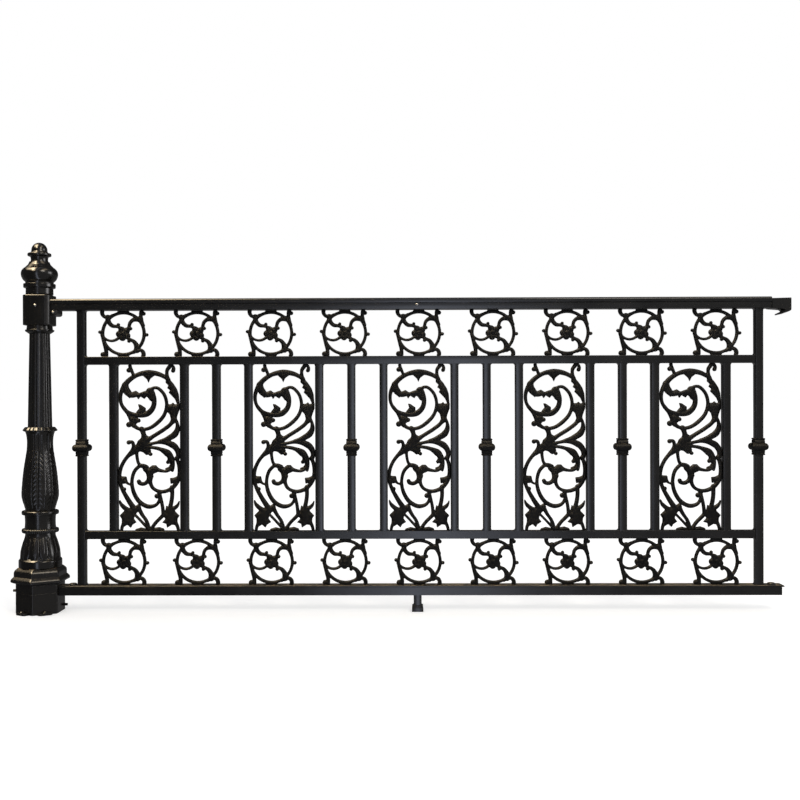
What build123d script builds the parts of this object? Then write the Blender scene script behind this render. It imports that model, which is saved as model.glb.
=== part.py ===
"""Ornamental aluminium fence panel with its turned newel post.

X runs along the fence from the post, Y runs from front to back and Z runs up.
The origin is the centre of the post's flat base, on the ground.
"""

import os
from math import atan, cos, degrees, hypot, radians, sin

from build123d import *

os.makedirs("parts", exist_ok=True)

# Driving dimensions of the panel
tube = 25.4
bay_count = 5
bay_pitch = 432.0
post_to_left_upright = 135.0
stile_spacing = 226.4
ground_clearance = 54.0
bottom_rail_height = 30.0
bottom_rail_depth = 48.0
band_height = 148.0
scroll_height = 532.0
top_rail_body_height = 19.0
top_rail_body_depth = 50.0
top_rail_cap_height = 17.0
top_rail_cap_depth = 60.0
top_rail_overrun = 35.0
end_bracket_length = 61.0
bottom_rail_overrun = 67.0
rail_cover_thickness = 4.0
rail_cover_overhang = 7.0
casting_thickness = 12.0
rosette_count = 9
rosette_row_margin = 3.0

# Driving dimensions of the post
plinth_radius = 77.0
plinth_height = 91.0
block_width = 85.0
block_chamfer = 10.0
block_below_rail = 47.8
block_above_rail = 13.2
capital_height = 26.0

# Heights of the rails
lower_band_bottom = ground_clearance + bottom_rail_height
lower_rail_bottom = lower_band_bottom + band_height
scroll_bottom = lower_rail_bottom + tube
scroll_top = scroll_bottom + scroll_height
upper_rail_top = scroll_top + tube
top_rail_bottom = upper_rail_top + band_height
cap_bottom = top_rail_bottom + top_rail_body_height
cap_top = cap_bottom + top_rail_cap_height

# Places along the fence
half_tube = tube / 2
left_upright_x = post_to_left_upright
right_upright_x = left_upright_x + bay_count * bay_pitch
panel_centre_x = (left_upright_x + right_upright_x) / 2
rail_left = left_upright_x + half_tube
rail_right = right_upright_x - half_tube
top_rail_end = right_upright_x + top_rail_overrun
bottom_rail_end = right_upright_x + bottom_rail_overrun
bay_centres = [left_upright_x + (index + 0.5) * bay_pitch for index in range(bay_count)]
picket_places = [left_upright_x + (index + 1) * bay_pitch for index in range(bay_count - 1)]
rosette_pitch = (rail_right - rail_left - 2 * rosette_row_margin) / rosette_count
first_rosette_x = rail_left + rosette_row_margin + rosette_pitch / 2
plinth_flat = plinth_radius * cos(radians(30))
collar_height = 54.0
collar_middle = (scroll_bottom + scroll_top) / 2


def save(piece, node):
    """Name a finished piece and write it to its own file."""
    piece.label = node
    export_step(piece, "parts/" + node + ".step")


def turned(*runs):
    """Turn a solid on the post's axis.

    Each run is a list of (radius, height) points: two make a line, three an arc
    and more a smooth curve. The outline closes along the axis.
    """
    foot = runs[0][0]
    head = runs[-1][-1]
    with BuildPart() as piece:
        with BuildSketch(Plane.XZ):
            with BuildLine():
                for run in runs:
                    if len(run) == 2:
                        Line(*run)
                    elif len(run) == 3:
                        ThreePointArc(*run)
                    else:
                        Spline(*run)
                if head[0] > 0:
                    Line(head, (0, head[1]))
                Line((0, head[1]), (0, foot[1]))
                Line((0, foot[1]), foot)
            make_face()
        revolve(axis=Axis.Z)
    return piece.part


def tilted_cutter(radius, foot, head):
    """A long round cutter whose middle runs between two (distance from the axis, height) points."""
    lean = degrees(atan((head[0] - foot[0]) / (head[1] - foot[1])))
    with BuildPart() as cutter:
        with Locations(Location((foot[0], 0, foot[1]), (0, lean, 0))):
            Cylinder(
                radius,
                hypot(head[0] - foot[0], head[1] - foot[1]),
                align=(Align.CENTER, Align.CENTER, Align.MIN),
            )
    return cutter.part


def hexagon_block(*levels):
    """Stack hexagonal frustums through (corner radius, height) levels, flats facing along the fence."""
    with BuildPart() as piece:
        for (low_radius, low), (high_radius, high) in zip(levels, levels[1:]):
            with BuildSketch(Plane.XY.offset(low)):
                RegularPolygon(low_radius, 6, rotation=30)
            with BuildSketch(Plane.XY.offset(high)):
                RegularPolygon(high_radius, 6, rotation=30)
            loft(ruled=True)
    return piece.part


def bar(width, depth, left, right, bottom, top):
    """A straight solid bar centred on the fence's middle plane."""
    with BuildPart() as piece:
        with BuildSketch(Plane.XY.offset(bottom)):
            with Locations(((left + right) / 2, 0)):
                Rectangle(width, depth)
        extrude(amount=top - bottom)
    return piece.part


def upright(place, bottom, top):
    """A vertical square tube bar."""
    return bar(tube, tube, place - half_tube, place + half_tube, bottom, top)


def rail(depth, left, right, bottom, top):
    """A rail that runs along the fence."""
    return bar(right - left, depth, left, right, bottom, top)


def taper(widths, place):
    """Width of a curved bar at a place from 0 to 1 along it."""
    spans = len(widths) - 1
    index = min(int(place * spans), spans - 1)
    share = place * spans - index
    return widths[index] * (1 - share) + widths[index + 1] * share


def side_run(points):
    """Chain arcs through every other point, or straight lines where three points are nearly in line."""
    for start, middle, end in zip(points[:-2:2], points[1:-1:2], points[2::2]):
        bend = (middle - start).get_angle(end - middle)
        if bend < 2:
            Line(start, end)
        else:
            ThreePointArc(start, middle, end)


class Drawing:
    """Flat ornament drawn about the middle of an opening, in millimetres, and stretched to fit it."""

    def __init__(self, along, up, fullness=1.0):
        self.along = along
        self.up = up
        self.fullness = fullness

    def place(self, points):
        """Points of the drawing after the stretch."""
        return [(x * self.along, z * self.up) for x, z in points]

    def bar(self, path, widths):
        """Face of a flat bar with round ends that follows a smooth path, tapering through its widths."""
        with BuildLine() as centre:
            Spline(*self.place(path))
        line = centre.line.edges()[0]
        steps = 2 * (len(path) - 1)
        left = []
        right = []
        for step in range(steps + 1):
            share = step / steps
            along = line % share
            side = Vector(-along.Y, along.X) * (self.fullness * taper(widths, share) / 2)
            left.append((line @ share) + side)
            right.append((line @ share) - side)
        right.reverse()
        head_tip = (line @ 1) + (line % 1) * (self.fullness * widths[-1] / 2)
        foot_tip = (line @ 0) - (line % 0) * (self.fullness * widths[0] / 2)
        with BuildLine() as outline:
            side_run(left)
            ThreePointArc(left[-1], head_tip, right[0])
            side_run(right)
            ThreePointArc(right[-1], foot_tip, left[0])
        return make_face(outline.edges())

    def leaf(self, *points):
        """Face of a leaf or bud with pointed lobes."""
        with BuildLine() as outline:
            Polyline(*self.place(points), close=True)
        return make_face(outline.edges())

    def ball(self, x, z, radius):
        """Face of a small round boss."""
        with BuildSketch() as boss:
            with Locations(self.place([(x, z)])):
                Circle(radius)
        return boss.sketch


# Post, from the ground up
post_plinth = hexagon_block((plinth_radius, 0), (plinth_radius, plinth_height))
save(post_plinth, "post_plinth")

# Bolting lugs on the four flats that carry no rail
lug_height = 6.0
lug_width = 44.0
lug_reach = 16.0
lug_hole_radius = 4.5
lug_turns = [Location((0, 0, 0), (0, 0, angle)) for angle in (60, 120, 240, 300)]
with BuildPart() as post_base_lugs:
    with BuildSketch():
        with Locations(lug_turns):
            with Locations((plinth_flat + lug_reach / 2, 0)):
                Rectangle(lug_reach, lug_width)
    extrude(amount=lug_height)
    outer_corners = [edge for edge in post_base_lugs.edges().filter_by(Axis.Z)
                     if Vector(edge.center().X, edge.center().Y).length > plinth_radius + 2]
    fillet(outer_corners, 10)
    with Locations(lug_turns):
        with Locations((plinth_flat + lug_reach / 2, 0)):
            Hole(lug_hole_radius)
save(post_base_lugs.part, "post_base_lugs")

base_top = plinth_height + 44
post_base_lip = hexagon_block(
    (plinth_radius, plinth_height),
    (plinth_radius + 16, plinth_height + 6),
    (plinth_radius + 16, plinth_height + 16),
    (plinth_radius + 6, plinth_height + 22),
)
save(post_base_lip, "post_base_lip")

post_base_moulding = hexagon_block(
    (plinth_radius + 6, plinth_height + 22),
    (plinth_radius + 6, plinth_height + 36),
    (plinth_radius - 6, base_top),
)
save(post_base_moulding, "post_base_moulding")

band_radius = plinth_flat
post_base_band = turned(
    [(band_radius - 2, base_top), (band_radius, base_top + 3)],
    [(band_radius, base_top + 3), (band_radius, base_top + 22)],
    [(band_radius, base_top + 22), (band_radius - 4, base_top + 25)],
)
save(post_base_band, "post_base_band")

# Bell with a ring of upright petals parted by grooves
bell_bottom = base_top + 25
bell_height = 93.0
bell_top = bell_bottom + bell_height
bell_form = turned(
    [(band_radius - 4, bell_bottom), (62, bell_bottom + 14)],
    [(62, bell_bottom + 14), (58, bell_bottom + 48), (47, bell_top - 10)],
    [(47, bell_top - 10), (46, bell_top)],
)
petal_count = 12
petal_groove_radius = 3.2
petal_groove = tilted_cutter(petal_groove_radius, (66, bell_bottom + 4), (50, bell_top - 13))
with BuildPart() as post_bell:
    add(bell_form)
    with PolarLocations(0, petal_count, start_angle=15):
        add(petal_groove, mode=Mode.SUBTRACT)
save(post_bell.part, "post_bell")

post_drum_ring = turned(
    [(50, bell_top), (57, bell_top + 7), (50, bell_top + 14)],
)
save(post_drum_ring, "post_drum_ring")

drum_bottom = bell_top + 14
drum_top = drum_bottom + 44
post_drum = turned(
    [(48, drum_bottom), (46.5, drum_bottom + 22), (48, drum_top)],
)
save(post_drum, "post_drum")

post_vase_foot = turned(
    [(51, drum_top), (57, drum_top + 6.5), (51, drum_top + 13)],
)
save(post_vase_foot, "post_vase_foot")

# Vase with eight tall leaves parted by grooves
vase_bottom = drum_top + 13
vase_height = 252.0
vase_top = vase_bottom + vase_height
leaf_count = 8
leaf_groove_width = 3.0
leaf_groove_depth = 2.2


def vase_form(inset):
    """The vase's turned body, drawn in all round by an inset."""
    profile = [(46, 0), (48, 14), (57.3, 50), (52, 125), (42, 185), (39.5, 215), (46, vase_height)]
    return turned([(radius - inset, vase_bottom + height) for radius, height in profile])


vase_body = vase_form(0)
vase_core = vase_form(leaf_groove_depth)
with BuildPart(Plane.XY.offset(vase_bottom)) as vase_grooves:
    with PolarLocations(0, leaf_count, start_angle=12):
        Box(70, leaf_groove_width, vase_height, align=(Align.MIN, Align.CENTER, Align.MIN))
with BuildPart() as post_vase:
    add(vase_body)
    add(vase_grooves.part, mode=Mode.SUBTRACT)
    add(vase_core)
save(post_vase.part, "post_vase")

# Lip of the vase, scalloped by the tips of the leaves
scallop_count = 16
scallop_radius = 5.0
lip_form = turned(
    [(46, vase_top), (53, vase_top + 4)],
    [(53, vase_top + 4), (54, vase_top + 8), (51, vase_top + 12)],
    [(51, vase_top + 12), (40, vase_top + 15)],
)
with BuildPart() as post_vase_lip:
    add(lip_form)
    with PolarLocations(54 + scallop_radius / 2, scallop_count):
        with Locations((0, 0, vase_top)):
            Cylinder(scallop_radius, 15, align=(Align.CENTER, Align.CENTER, Align.MIN), mode=Mode.SUBTRACT)
save(post_vase_lip.part, "post_vase_lip")

# Tapering shaft with flutes all the way up
shaft_bottom = vase_top + 15
block_bottom = top_rail_bottom - block_below_rail
block_top = cap_top + block_above_rail
shaft_top = block_bottom - capital_height
shaft_foot_radius = 37.5
shaft_head_radius = 31.5
flute_count = 16
flute_depth = 1.8
flute_cutter_radius = 6.0
flute_offset = flute_cutter_radius - flute_depth
shaft_slope = (shaft_foot_radius - shaft_head_radius) / (shaft_top - shaft_bottom)
flute_overrun = 6.0
shaft_flute = tilted_cutter(
    flute_cutter_radius,
    (shaft_foot_radius + flute_offset + flute_overrun * shaft_slope, shaft_bottom - flute_overrun),
    (shaft_head_radius + flute_offset - flute_overrun * shaft_slope, shaft_top + flute_overrun),
)
shaft_form = turned([(shaft_foot_radius, shaft_bottom), (shaft_head_radius, shaft_top)])
with BuildPart() as post_shaft:
    add(shaft_form)
    with PolarLocations(0, flute_count):
        add(shaft_flute, mode=Mode.SUBTRACT)
save(post_shaft.part, "post_shaft")

post_capital = turned(
    [(33, shaft_top), (44.5, shaft_top + 9)],
    [(44.5, shaft_top + 9), (40.5, shaft_top + 15), (39, block_bottom)],
)
save(post_capital, "post_capital")

with BuildPart() as post_rail_block:
    with BuildSketch(Plane.XY.offset(block_bottom)) as block_plan:
        Rectangle(block_width, block_width)
        chamfer(block_plan.vertices(), block_chamfer)
    extrude(amount=block_top - block_bottom)
    chamfer(post_rail_block.faces().sort_by(Axis.Z)[-1].edges(), 2)
    chamfer(post_rail_block.faces().sort_by(Axis.Z)[0].edges(), 2)
save(post_rail_block.part, "post_rail_block")

neck_top = block_top + 22
post_neck = turned(
    [(39, block_top), (42.5, block_top + 3)],
    [(42.5, block_top + 3), (42, neck_top)],
    [(42, neck_top), (49.5, neck_top + 7), (44, neck_top + 15)],
)
save(post_neck, "post_neck")

ball_bottom = neck_top + 15
post_ball = turned(
    [(44, ball_bottom), (51.6, ball_bottom + 12), (56.5, ball_bottom + 33)],
    [(56.5, ball_bottom + 33), (53, ball_bottom + 44.5), (44, ball_bottom + 54)],
    [(44, ball_bottom + 54), (35.5, ball_bottom + 61), (31, ball_bottom + 70)],
)
save(post_ball, "post_ball")

finial_bottom = ball_bottom + 70
dome_radius = 24.5
dome_centre = finial_bottom + 37.5
post_finial = turned(
    [(27, finial_bottom), (26, finial_bottom + 9), (31, finial_bottom + 18)],
    [(31, finial_bottom + 18), (37, finial_bottom + 23), (30, finial_bottom + 28)],
    [(30, finial_bottom + 28), (dome_radius, finial_bottom + 32)],
    [(dome_radius, finial_bottom + 32), (dome_radius, dome_centre)],
    [
        (dome_radius, dome_centre),
        (dome_radius * cos(radians(45)), dome_centre + dome_radius * sin(radians(45))),
        (0, dome_centre + dome_radius),
    ],
)
save(post_finial, "post_finial")

# Rails
block_face = block_width / 2
top_rail_body = rail(top_rail_body_depth, block_face, top_rail_end, top_rail_bottom, cap_bottom)
save(top_rail_body, "top_rail_body")

with BuildPart() as top_rail_cap:
    with BuildSketch(Plane.YZ.offset(block_face)) as cap_section:
        with Locations((0, (cap_bottom + cap_top) / 2)):
            Rectangle(top_rail_cap_depth, top_rail_cap_height)
        fillet(cap_section.vertices().group_by(Axis.Y)[-1], 7)
        fillet(cap_section.vertices().group_by(Axis.Y)[0], 3)
    extrude(amount=top_rail_end - block_face)
save(top_rail_cap.part, "top_rail_cap")

cover_bottom = lower_band_bottom - rail_cover_thickness
bottom_rail = rail(bottom_rail_depth, plinth_flat, bottom_rail_end, ground_clearance, cover_bottom)
save(bottom_rail, "bottom_rail")

cover_end = bottom_rail_end + rail_cover_overhang
bottom_rail_cover = rail(bottom_rail_depth + 2, plinth_flat, cover_end, cover_bottom, lower_band_bottom)
save(bottom_rail_cover, "bottom_rail_cover")

# Round plugs in the cover strip, outside both end uprights
plug_places = (left_upright_x - 30, right_upright_x + 40)
with BuildPart() as bottom_rail_plugs:
    with BuildSketch(Plane.XY.offset(lower_band_bottom)) as plug_plan:
        with Locations(*[(place, 0) for place in plug_places]):
            Circle(12)
    extrude(amount=6)
    chamfer(bottom_rail_plugs.faces().filter_by(Axis.Z).group_by(Axis.Z)[-1].edges(), 2.5)
save(bottom_rail_plugs.part, "bottom_rail_plugs")

# Bracket that closes the far end of the top rail, with a sloping tongue below it
bracket_top = cap_top - 3
bracket_bottom = top_rail_bottom - 5
bracket_end = top_rail_end + end_bracket_length
with BuildPart() as top_rail_end_bracket:
    with BuildSketch(Plane.XZ):
        with BuildLine():
            Polyline(
                (top_rail_end, bracket_top),
                (bracket_end, bracket_top),
                (bracket_end, bracket_bottom),
                (bracket_end - 8, bracket_bottom - 6),
                (bracket_end - 46, bracket_bottom - 16),
                (bracket_end - 47, bracket_bottom - 13),
                (bracket_end - 22, bracket_bottom - 3),
                (bracket_end - 24, bracket_bottom + 1),
                (top_rail_end, top_rail_bottom - 1),
                close=True,
            )
        make_face()
    extrude(amount=top_rail_body_depth / 2 + 3, both=True)
save(top_rail_end_bracket.part, "top_rail_end_bracket")

# Cradle on the post block that carries the near end of the top rail
cradle_length = 22.0
with BuildPart() as post_rail_cradle:
    with BuildSketch(Plane.XZ) as cradle_side:
        with Locations((block_face + cradle_length / 2, top_rail_bottom - 9)):
            Rectangle(cradle_length, 18)
        fillet(cradle_side.vertices().group_by(Axis.X)[-1].sort_by(Axis.Y)[0], 12)
    extrude(amount=top_rail_body_depth / 2 + 2, both=True)
save(post_rail_cradle.part, "post_rail_cradle")

lower_sub_rail = rail(tube, rail_left, rail_right, lower_rail_bottom, scroll_bottom)
save(lower_sub_rail, "lower_sub_rail")
upper_sub_rail = rail(tube, rail_left, rail_right, scroll_top, upper_rail_top)
save(upper_sub_rail, "upper_sub_rail")

# Uprights, stiles and pickets
left_end_upright = upright(left_upright_x, lower_band_bottom, top_rail_bottom)
save(left_end_upright, "left_end_upright")
right_end_upright = upright(right_upright_x, lower_band_bottom, top_rail_bottom)
save(right_end_upright, "right_end_upright")

for index, centre_x in enumerate(bay_centres, start=1):
    left_stile = upright(centre_x - stile_spacing / 2, scroll_bottom, scroll_top)
    save(left_stile, f"stile_{index}_left")
    right_stile = upright(centre_x + stile_spacing / 2, scroll_bottom, scroll_top)
    save(right_stile, f"stile_{index}_right")

for index, place in enumerate(picket_places, start=1):
    picket = upright(place, scroll_bottom, scroll_top)
    save(picket, f"picket_{index}")

# Square knuckle collars halfway up the uprights and pickets, with a mitred half-round ring
sleeve_half_width = 16.5
sleeve_rim = 0.8
sleeve_rim_height = 5.0
ring_half_width = 25.3
ring_half_height = 11.5


half_collar = collar_height / 2
rim_foot = half_collar - sleeve_rim_height
rim_half_width = sleeve_half_width + sleeve_rim
with BuildPart() as collar_slab:
    with BuildSketch(Plane.XZ):
        with BuildLine() as collar_side:
            Polyline(
                (0, half_collar), (rim_half_width, half_collar), (rim_half_width, rim_foot),
                (sleeve_half_width, rim_foot), (sleeve_half_width, ring_half_height),
            )
            ThreePointArc(
                (sleeve_half_width, ring_half_height), (ring_half_width, 0),
                (sleeve_half_width, -ring_half_height)
            )
            Polyline(
                (sleeve_half_width, -ring_half_height), (sleeve_half_width, -rim_foot),
                (rim_half_width, -rim_foot), (rim_half_width, -half_collar), (0, -half_collar),
            )
            mirror(about=Plane.YZ)
        make_face()
    extrude(amount=ring_half_width + 1, both=True)
with BuildPart() as collar:
    add(collar_slab.part)
    add(collar_slab.part, rotation=(0, 0, 90), mode=Mode.INTERSECT)
    Box(tube, tube, collar_height, mode=Mode.SUBTRACT)

knuckle_places = [left_upright_x, *picket_places, right_upright_x]
with BuildPart() as knuckle_collars:
    with Locations([(place, 0, collar_middle) for place in knuckle_places]):
        add(collar.part)
save(knuckle_collars.part, "knuckle_collars")

# Rosette castings between the rails and the sub-rails
ring_outer = band_height / 2 - 2.5
ring_bar = 9.0
flower_reach = 13.5
petal_radius = 10.5
ring_art = Drawing(band_height / 148, band_height / 148)
rosette_faces = [
    ring_art.bar([(-50, 53), (-46, 36), (-35, 25), (-22, 23), (-6, 17)], [14, 12, 11, 9, 8]),
    ring_art.ball(-16, 29, 5),
    ring_art.bar([(53, 46), (43, 46), (32, 44), (22, 35), (18, 22), (14, 10)], [17, 13, 10, 9, 8]),
    ring_art.ball(23, 16, 5.5),
    ring_art.bar([(43, -53), (41, -36), (33, -25), (22, -19), (10, -13)], [17, 12, 9, 8]),
    ring_art.ball(18, -24, 5.5),
    ring_art.bar([(-69, -4), (-56, -18), (-40, -23), (-10, -9)], [8, 7, 8]),
    ring_art.bar([(-67, 76), (-67, 62), (-60, 54), (-48, 53), (-36, 58)], [12, 10, 9, 8]),
    ring_art.bar([(60, 76), (56, 62), (58, 48), (65, 26)], [11, 9, 7]),
    ring_art.bar([(-68, -4), (-61, -34), (-56, -52), (-56, -76)], [8, 10, 11]),
    ring_art.bar([(33, -60), (46, -54), (58, -54), (64, -62), (62, -76)], [9, 9, 11, 12]),
    ring_art.ball(65, 64, 6.5),
    ring_art.ball(-65, -67, 8.5),
    ring_art.ball(-75, 5, 5.5),
    ring_art.ball(75, -4, 5.5),
]

with BuildPart() as rosette:
    with BuildSketch(Plane.XZ) as rosette_outline:
        Circle(ring_outer)
        Circle(ring_outer - ring_bar, mode=Mode.SUBTRACT)
        add(rosette_faces)
        Circle(9)
        with PolarLocations(flower_reach, 5, start_angle=42):
            Circle(petal_radius)
        with Locations((0, band_height / 2 - 3), (0, 3 - band_height / 2)):
            Rectangle(36, 6)
        Rectangle(2 * band_height, band_height, mode=Mode.INTERSECT)
    extrude(amount=casting_thickness / 2, both=True)

rosette_rows = {
    "rosettes_lower": lower_band_bottom + band_height / 2,
    "rosettes_upper": upper_rail_top + band_height / 2,
}
for node, height in rosette_rows.items():
    places = [(first_rosette_x + index * rosette_pitch, 0, height) for index in range(rosette_count)]
    with BuildPart() as row:
        with Locations(places):
            add(rosette.part)
    save(row.part, node)

# Scroll casting, drawn in millimetres about the middle of its bottom edge
scroll_fullness = 1.08
scroll_art = Drawing((stile_spacing - tube) / 201, scroll_height / 532, scroll_fullness)
scroll_faces = [
    scroll_art.bar(
        [(62, 484), (32, 501), (-2, 506), (-38, 499), (-74, 472), (-92, 434), (-90, 408), (-74, 384),
         (-43, 371), (-6, 375), (12, 394), (16, 412), (12, 430), (3, 446)],
        [10, 13, 16, 12, 14, 10, 9, 10, 12, 16, 14, 13, 16, 22],
    ),
    scroll_art.bar([(-61, 536), (-61, 526), (-56, 513), (-50, 498)], [10, 9, 8]),
    scroll_art.ball(-65, 514, 7.5),
    scroll_art.bar([(70, 536), (66, 526), (58, 514), (57, 502), (62, 484)], [13, 11, 9, 10]),
    scroll_art.bar([(67, 532), (78, 524), (77, 512)], [9, 8, 11]),
    scroll_art.leaf(
        (-24, 506), (-22, 499), (-15, 492), (-7, 485), (-2, 474), (4, 487), (20, 499), (20, 506),
    ),
    scroll_art.bar(
        [(-77, 466), (-70, 445), (-59, 435), (-32, 436), (-2, 438), (10, 426)],
        [18, 20, 15, 9, 18, 20],
    ),
    scroll_art.leaf(
        (-74, 436), (-63, 424), (-56, 432), (-41, 433), (-35, 420), (-28, 430), (-15, 422), (-4, 436),
        (-12, 445), (-30, 440), (-43, 449), (-60, 442),
    ),
    scroll_art.leaf((-36, 406), (-27, 404), (-11, 393), (-12, 376), (-36, 370), (-42, 380), (-32, 392)),
    scroll_art.bar(
        [(3, 440), (9, 455), (22, 458), (44, 442), (56, 408), (48, 371), (29, 348), (-8, 326), (-32, 326),
         (-52, 341)],
        [10, 8, 9, 9, 9, 10, 11, 10, 9, 12],
    ),
    scroll_art.ball(-65, 340, 9),
    scroll_art.ball(-49, 354, 14),
    scroll_art.ball(-35, 353, 7),
    scroll_art.bar([(-82, 394), (-67, 372), (-58, 352), (-50, 335)], [9, 9, 10]),
    scroll_art.leaf(
        (54, 490), (67, 484), (78, 471), (89, 454), (95, 436), (98, 400), (90, 404), (83, 421), (73, 432),
        (63, 442), (67, 450), (58, 457), (62, 465), (53, 474),
    ),
    scroll_art.leaf(
        (55, 405), (71, 406), (77, 411), (81, 405), (98, 407), (98, 390), (90, 368), (87, 352), (82, 344),
        (69, 338), (70, 355), (66, 372), (54, 385),
    ),
    scroll_art.bar([(78, 358), (69, 342), (51, 327), (12, 302), (-16, 283)], [13, 11, 11, 11, 16]),
    scroll_art.bar(
        [(84, 358), (90, 342), (90, 324), (82, 309), (66, 298), (34, 287)],
        [7, 9, 14, 18, 16, 9],
    ),
    scroll_art.bar([(-25, 326), (-18, 308), (-17, 294), (-24, 280)], [14, 13, 18, 26]),
    scroll_art.ball(-66, 283, 7),
    scroll_art.bar([(-64, 284), (-55, 284), (-51, 273), (-54, 260), (-62, 245)], [9, 9, 9, 12]),
    scroll_art.bar([(-12, 292), (-24, 274), (-40, 262), (-58, 248)], [24, 28, 20, 14]),
    scroll_art.bar(
        [(-52, 254), (-74, 233), (-91, 203), (-97, 168), (-91, 143), (-73, 107), (-50, 72)],
        [13, 10, 10, 12, 10, 12, 15],
    ),
    scroll_art.leaf((-96, 175), (-74, 174), (-70, 156), (-81, 150), (-96, 152)),
    scroll_art.bar([(-77, 159), (-67, 150), (-55, 148)], [8, 6, 5]),
    scroll_art.ball(-81, 133, 6),
    scroll_art.bar([(-40, 256), (-39, 232), (-34, 215), (-24, 206)], [9, 8, 9]),
    scroll_art.bar(
        [(-14, 274), (13, 280), (38, 284), (62, 280), (82, 269), (92, 252), (92, 234)],
        [9, 9, 13, 18, 15, 11],
    ),
    scroll_art.bar(
        [(-20, 268), (5, 267), (29, 263), (48, 255), (64, 243), (73, 226), (74, 192)],
        [10, 9, 11, 20, 14, 7],
    ),
    scroll_art.leaf(
        (52, 252), (59, 229), (53, 220), (57, 213), (68, 215), (62, 205), (50, 200), (54, 193), (72, 198),
        (80, 213), (79, 236), (66, 248),
    ),
    scroll_art.leaf(
        (-44, 262), (-3, 270), (6, 256), (1, 245), (-9, 242), (-20, 251), (-32, 255), (-42, 248),
    ),
    scroll_art.ball(4, 245, 6),
    scroll_art.bar(
        [(-8, 204), (-26, 209), (-44, 196), (-56, 162), (-49, 119), (-28, 89), (0, 77), (24, 85),
         (33, 103), (32, 122)],
        [10, 10, 10, 9, 11, 12, 12, 9, 8, 9],
    ),
    scroll_art.leaf(
        (-22, 201), (-11, 211), (-1, 202), (9, 210), (21, 210), (28, 202), (35, 196), (25, 187), (13, 182),
        (8, 172), (6, 150), (-8, 152), (-8, 172), (-11, 184), (-20, 193),
    ),
    scroll_art.bar([(0, 172), (-5, 159), (-19, 150), (-32, 153)], [13, 11, 11]),
    scroll_art.ball(-34, 158, 6.5),
    scroll_art.bar(
        [(6, 174), (3, 156), (10, 138), (38, 125), (72, 136), (94, 168), (96, 204), (87, 233)],
        [12, 10, 9, 11, 12, 11, 10],
    ),
    scroll_art.bar([(92, 250), (92, 240), (88, 228)], [11, 10]),
    scroll_art.bar([(18, 199), (38, 192), (56, 191), (71, 200)], [12, 8, 9]),
    scroll_art.leaf((66, 169), (78, 170), (96, 178), (93, 154), (68, 150)),
    scroll_art.bar([(72, 140), (73, 117), (71, 97), (62, 64)], [11, 11, 12]),
    scroll_art.ball(24, 111, 8),
    scroll_art.bar([(30, 124), (36, 104), (42, 74), (44, 50)], [9, 9, 10]),
    scroll_art.bar([(46, 52), (33, 39), (21, 27), (2, -3)], [11, 10, 10]),
    scroll_art.leaf(
        (-96, 49), (-89, 38), (-89, 19), (-81, 13), (-71, 19), (-60, 9), (-55, 19), (-42, 27), (-50, 38),
        (-48, 50), (-36, 62), (-27, 76), (-36, 86), (-50, 76), (-73, 72), (-88, 57),
    ),
    scroll_art.bar([(-72, 68), (-83, 76), (-91, 85), (-95, 96)], [13, 11, 4]),
    scroll_art.bar([(-82, 25), (-88, 12), (-90, -3)], [10, 8]),
    scroll_art.bar([(-36, 76), (-24, 52), (-11, 33), (-2, -3)], [12, 9, 11]),
    scroll_art.bar([(-49, 53), (-34, 38), (-20, 23), (-5, 7)], [7, 7, 8]),
    scroll_art.leaf(
        (54, 81), (63, 74), (77, 74), (83, 61), (96, 48), (90, 39), (89, 25), (82, 18), (72, 19), (56, 9),
        (54, 22), (40, 26), (51, 38), (44, 48), (50, 62),
    ),
    scroll_art.bar([(74, 70), (88, 79), (95, 94)], [13, 10, 3]),
    scroll_art.bar([(83, 27), (90, 12), (93, -3)], [10, 8]),
    scroll_art.leaf((-49, -3), (-44, 6), (-28, 11), (-11, 7), (-3, -3)),
    scroll_art.leaf((5, -3), (13, 9), (31, 12), (46, 7), (50, -3)),
]

with BuildPart() as scroll_casting:
    with BuildSketch(Plane.XZ) as scroll_outline:
        add(scroll_faces)
        with Locations(scroll_art.place([(-52, 361)])):
            Circle(3, mode=Mode.SUBTRACT)
        with Locations((0, scroll_height / 2)):
            Rectangle(stile_spacing - tube, scroll_height, mode=Mode.INTERSECT)
    extrude(amount=casting_thickness / 2, both=True)

with BuildPart() as scroll_panels:
    with Locations([(centre_x, 0, scroll_bottom) for centre_x in bay_centres]):
        add(scroll_casting.part)
save(scroll_panels.part, "scroll_panels")

# Middle foot under the bottom rail
foot_shoe_height = 20.0
foot_shoe_width = 36.5
foot_shoe_neck = 34.0
foot_shoe_notch = 1.2
foot_place = panel_centre_x - 6
foot_stem = upright(foot_place, foot_shoe_height, ground_clearance)
save(foot_stem, "foot_stem")
# The shoe narrows a little from its sole to its top, with a line cut round it above the sole
foot_shoe_levels = [
    (foot_shoe_width, 0, 3),
    (foot_shoe_width - 2 * foot_shoe_notch, 3, 4.5),
    (foot_shoe_width, 4.5, 7),
]
with BuildPart() as foot_shoe:
    for width, low, high in foot_shoe_levels:
        with BuildSketch(Plane.XY.offset(low)):
            with Locations((foot_place, 0)):
                Rectangle(width, width)
        extrude(amount=high - low)
    with BuildSketch(Plane.XY.offset(7)):
        with Locations((foot_place, 0)):
            Rectangle(foot_shoe_width, foot_shoe_width)
    with BuildSketch(Plane.XY.offset(foot_shoe_height)):
        with Locations((foot_place, 0)):
            Rectangle(foot_shoe_neck, foot_shoe_neck)
    loft(ruled=True)
save(foot_shoe.part, "foot_shoe")
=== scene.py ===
"""Dressed model of an ornamental black aluminium fence panel and its turned newel post.

X runs along the fence from the post, Y from front to back and Z up. Sizes are in millimetres
here and become metres when a surface is made a mesh.
"""

import logging
from collections.abc import Callable
from dataclasses import dataclass, replace
from enum import Enum
from functools import reduce
from math import cos, pi, radians, sin

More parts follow.
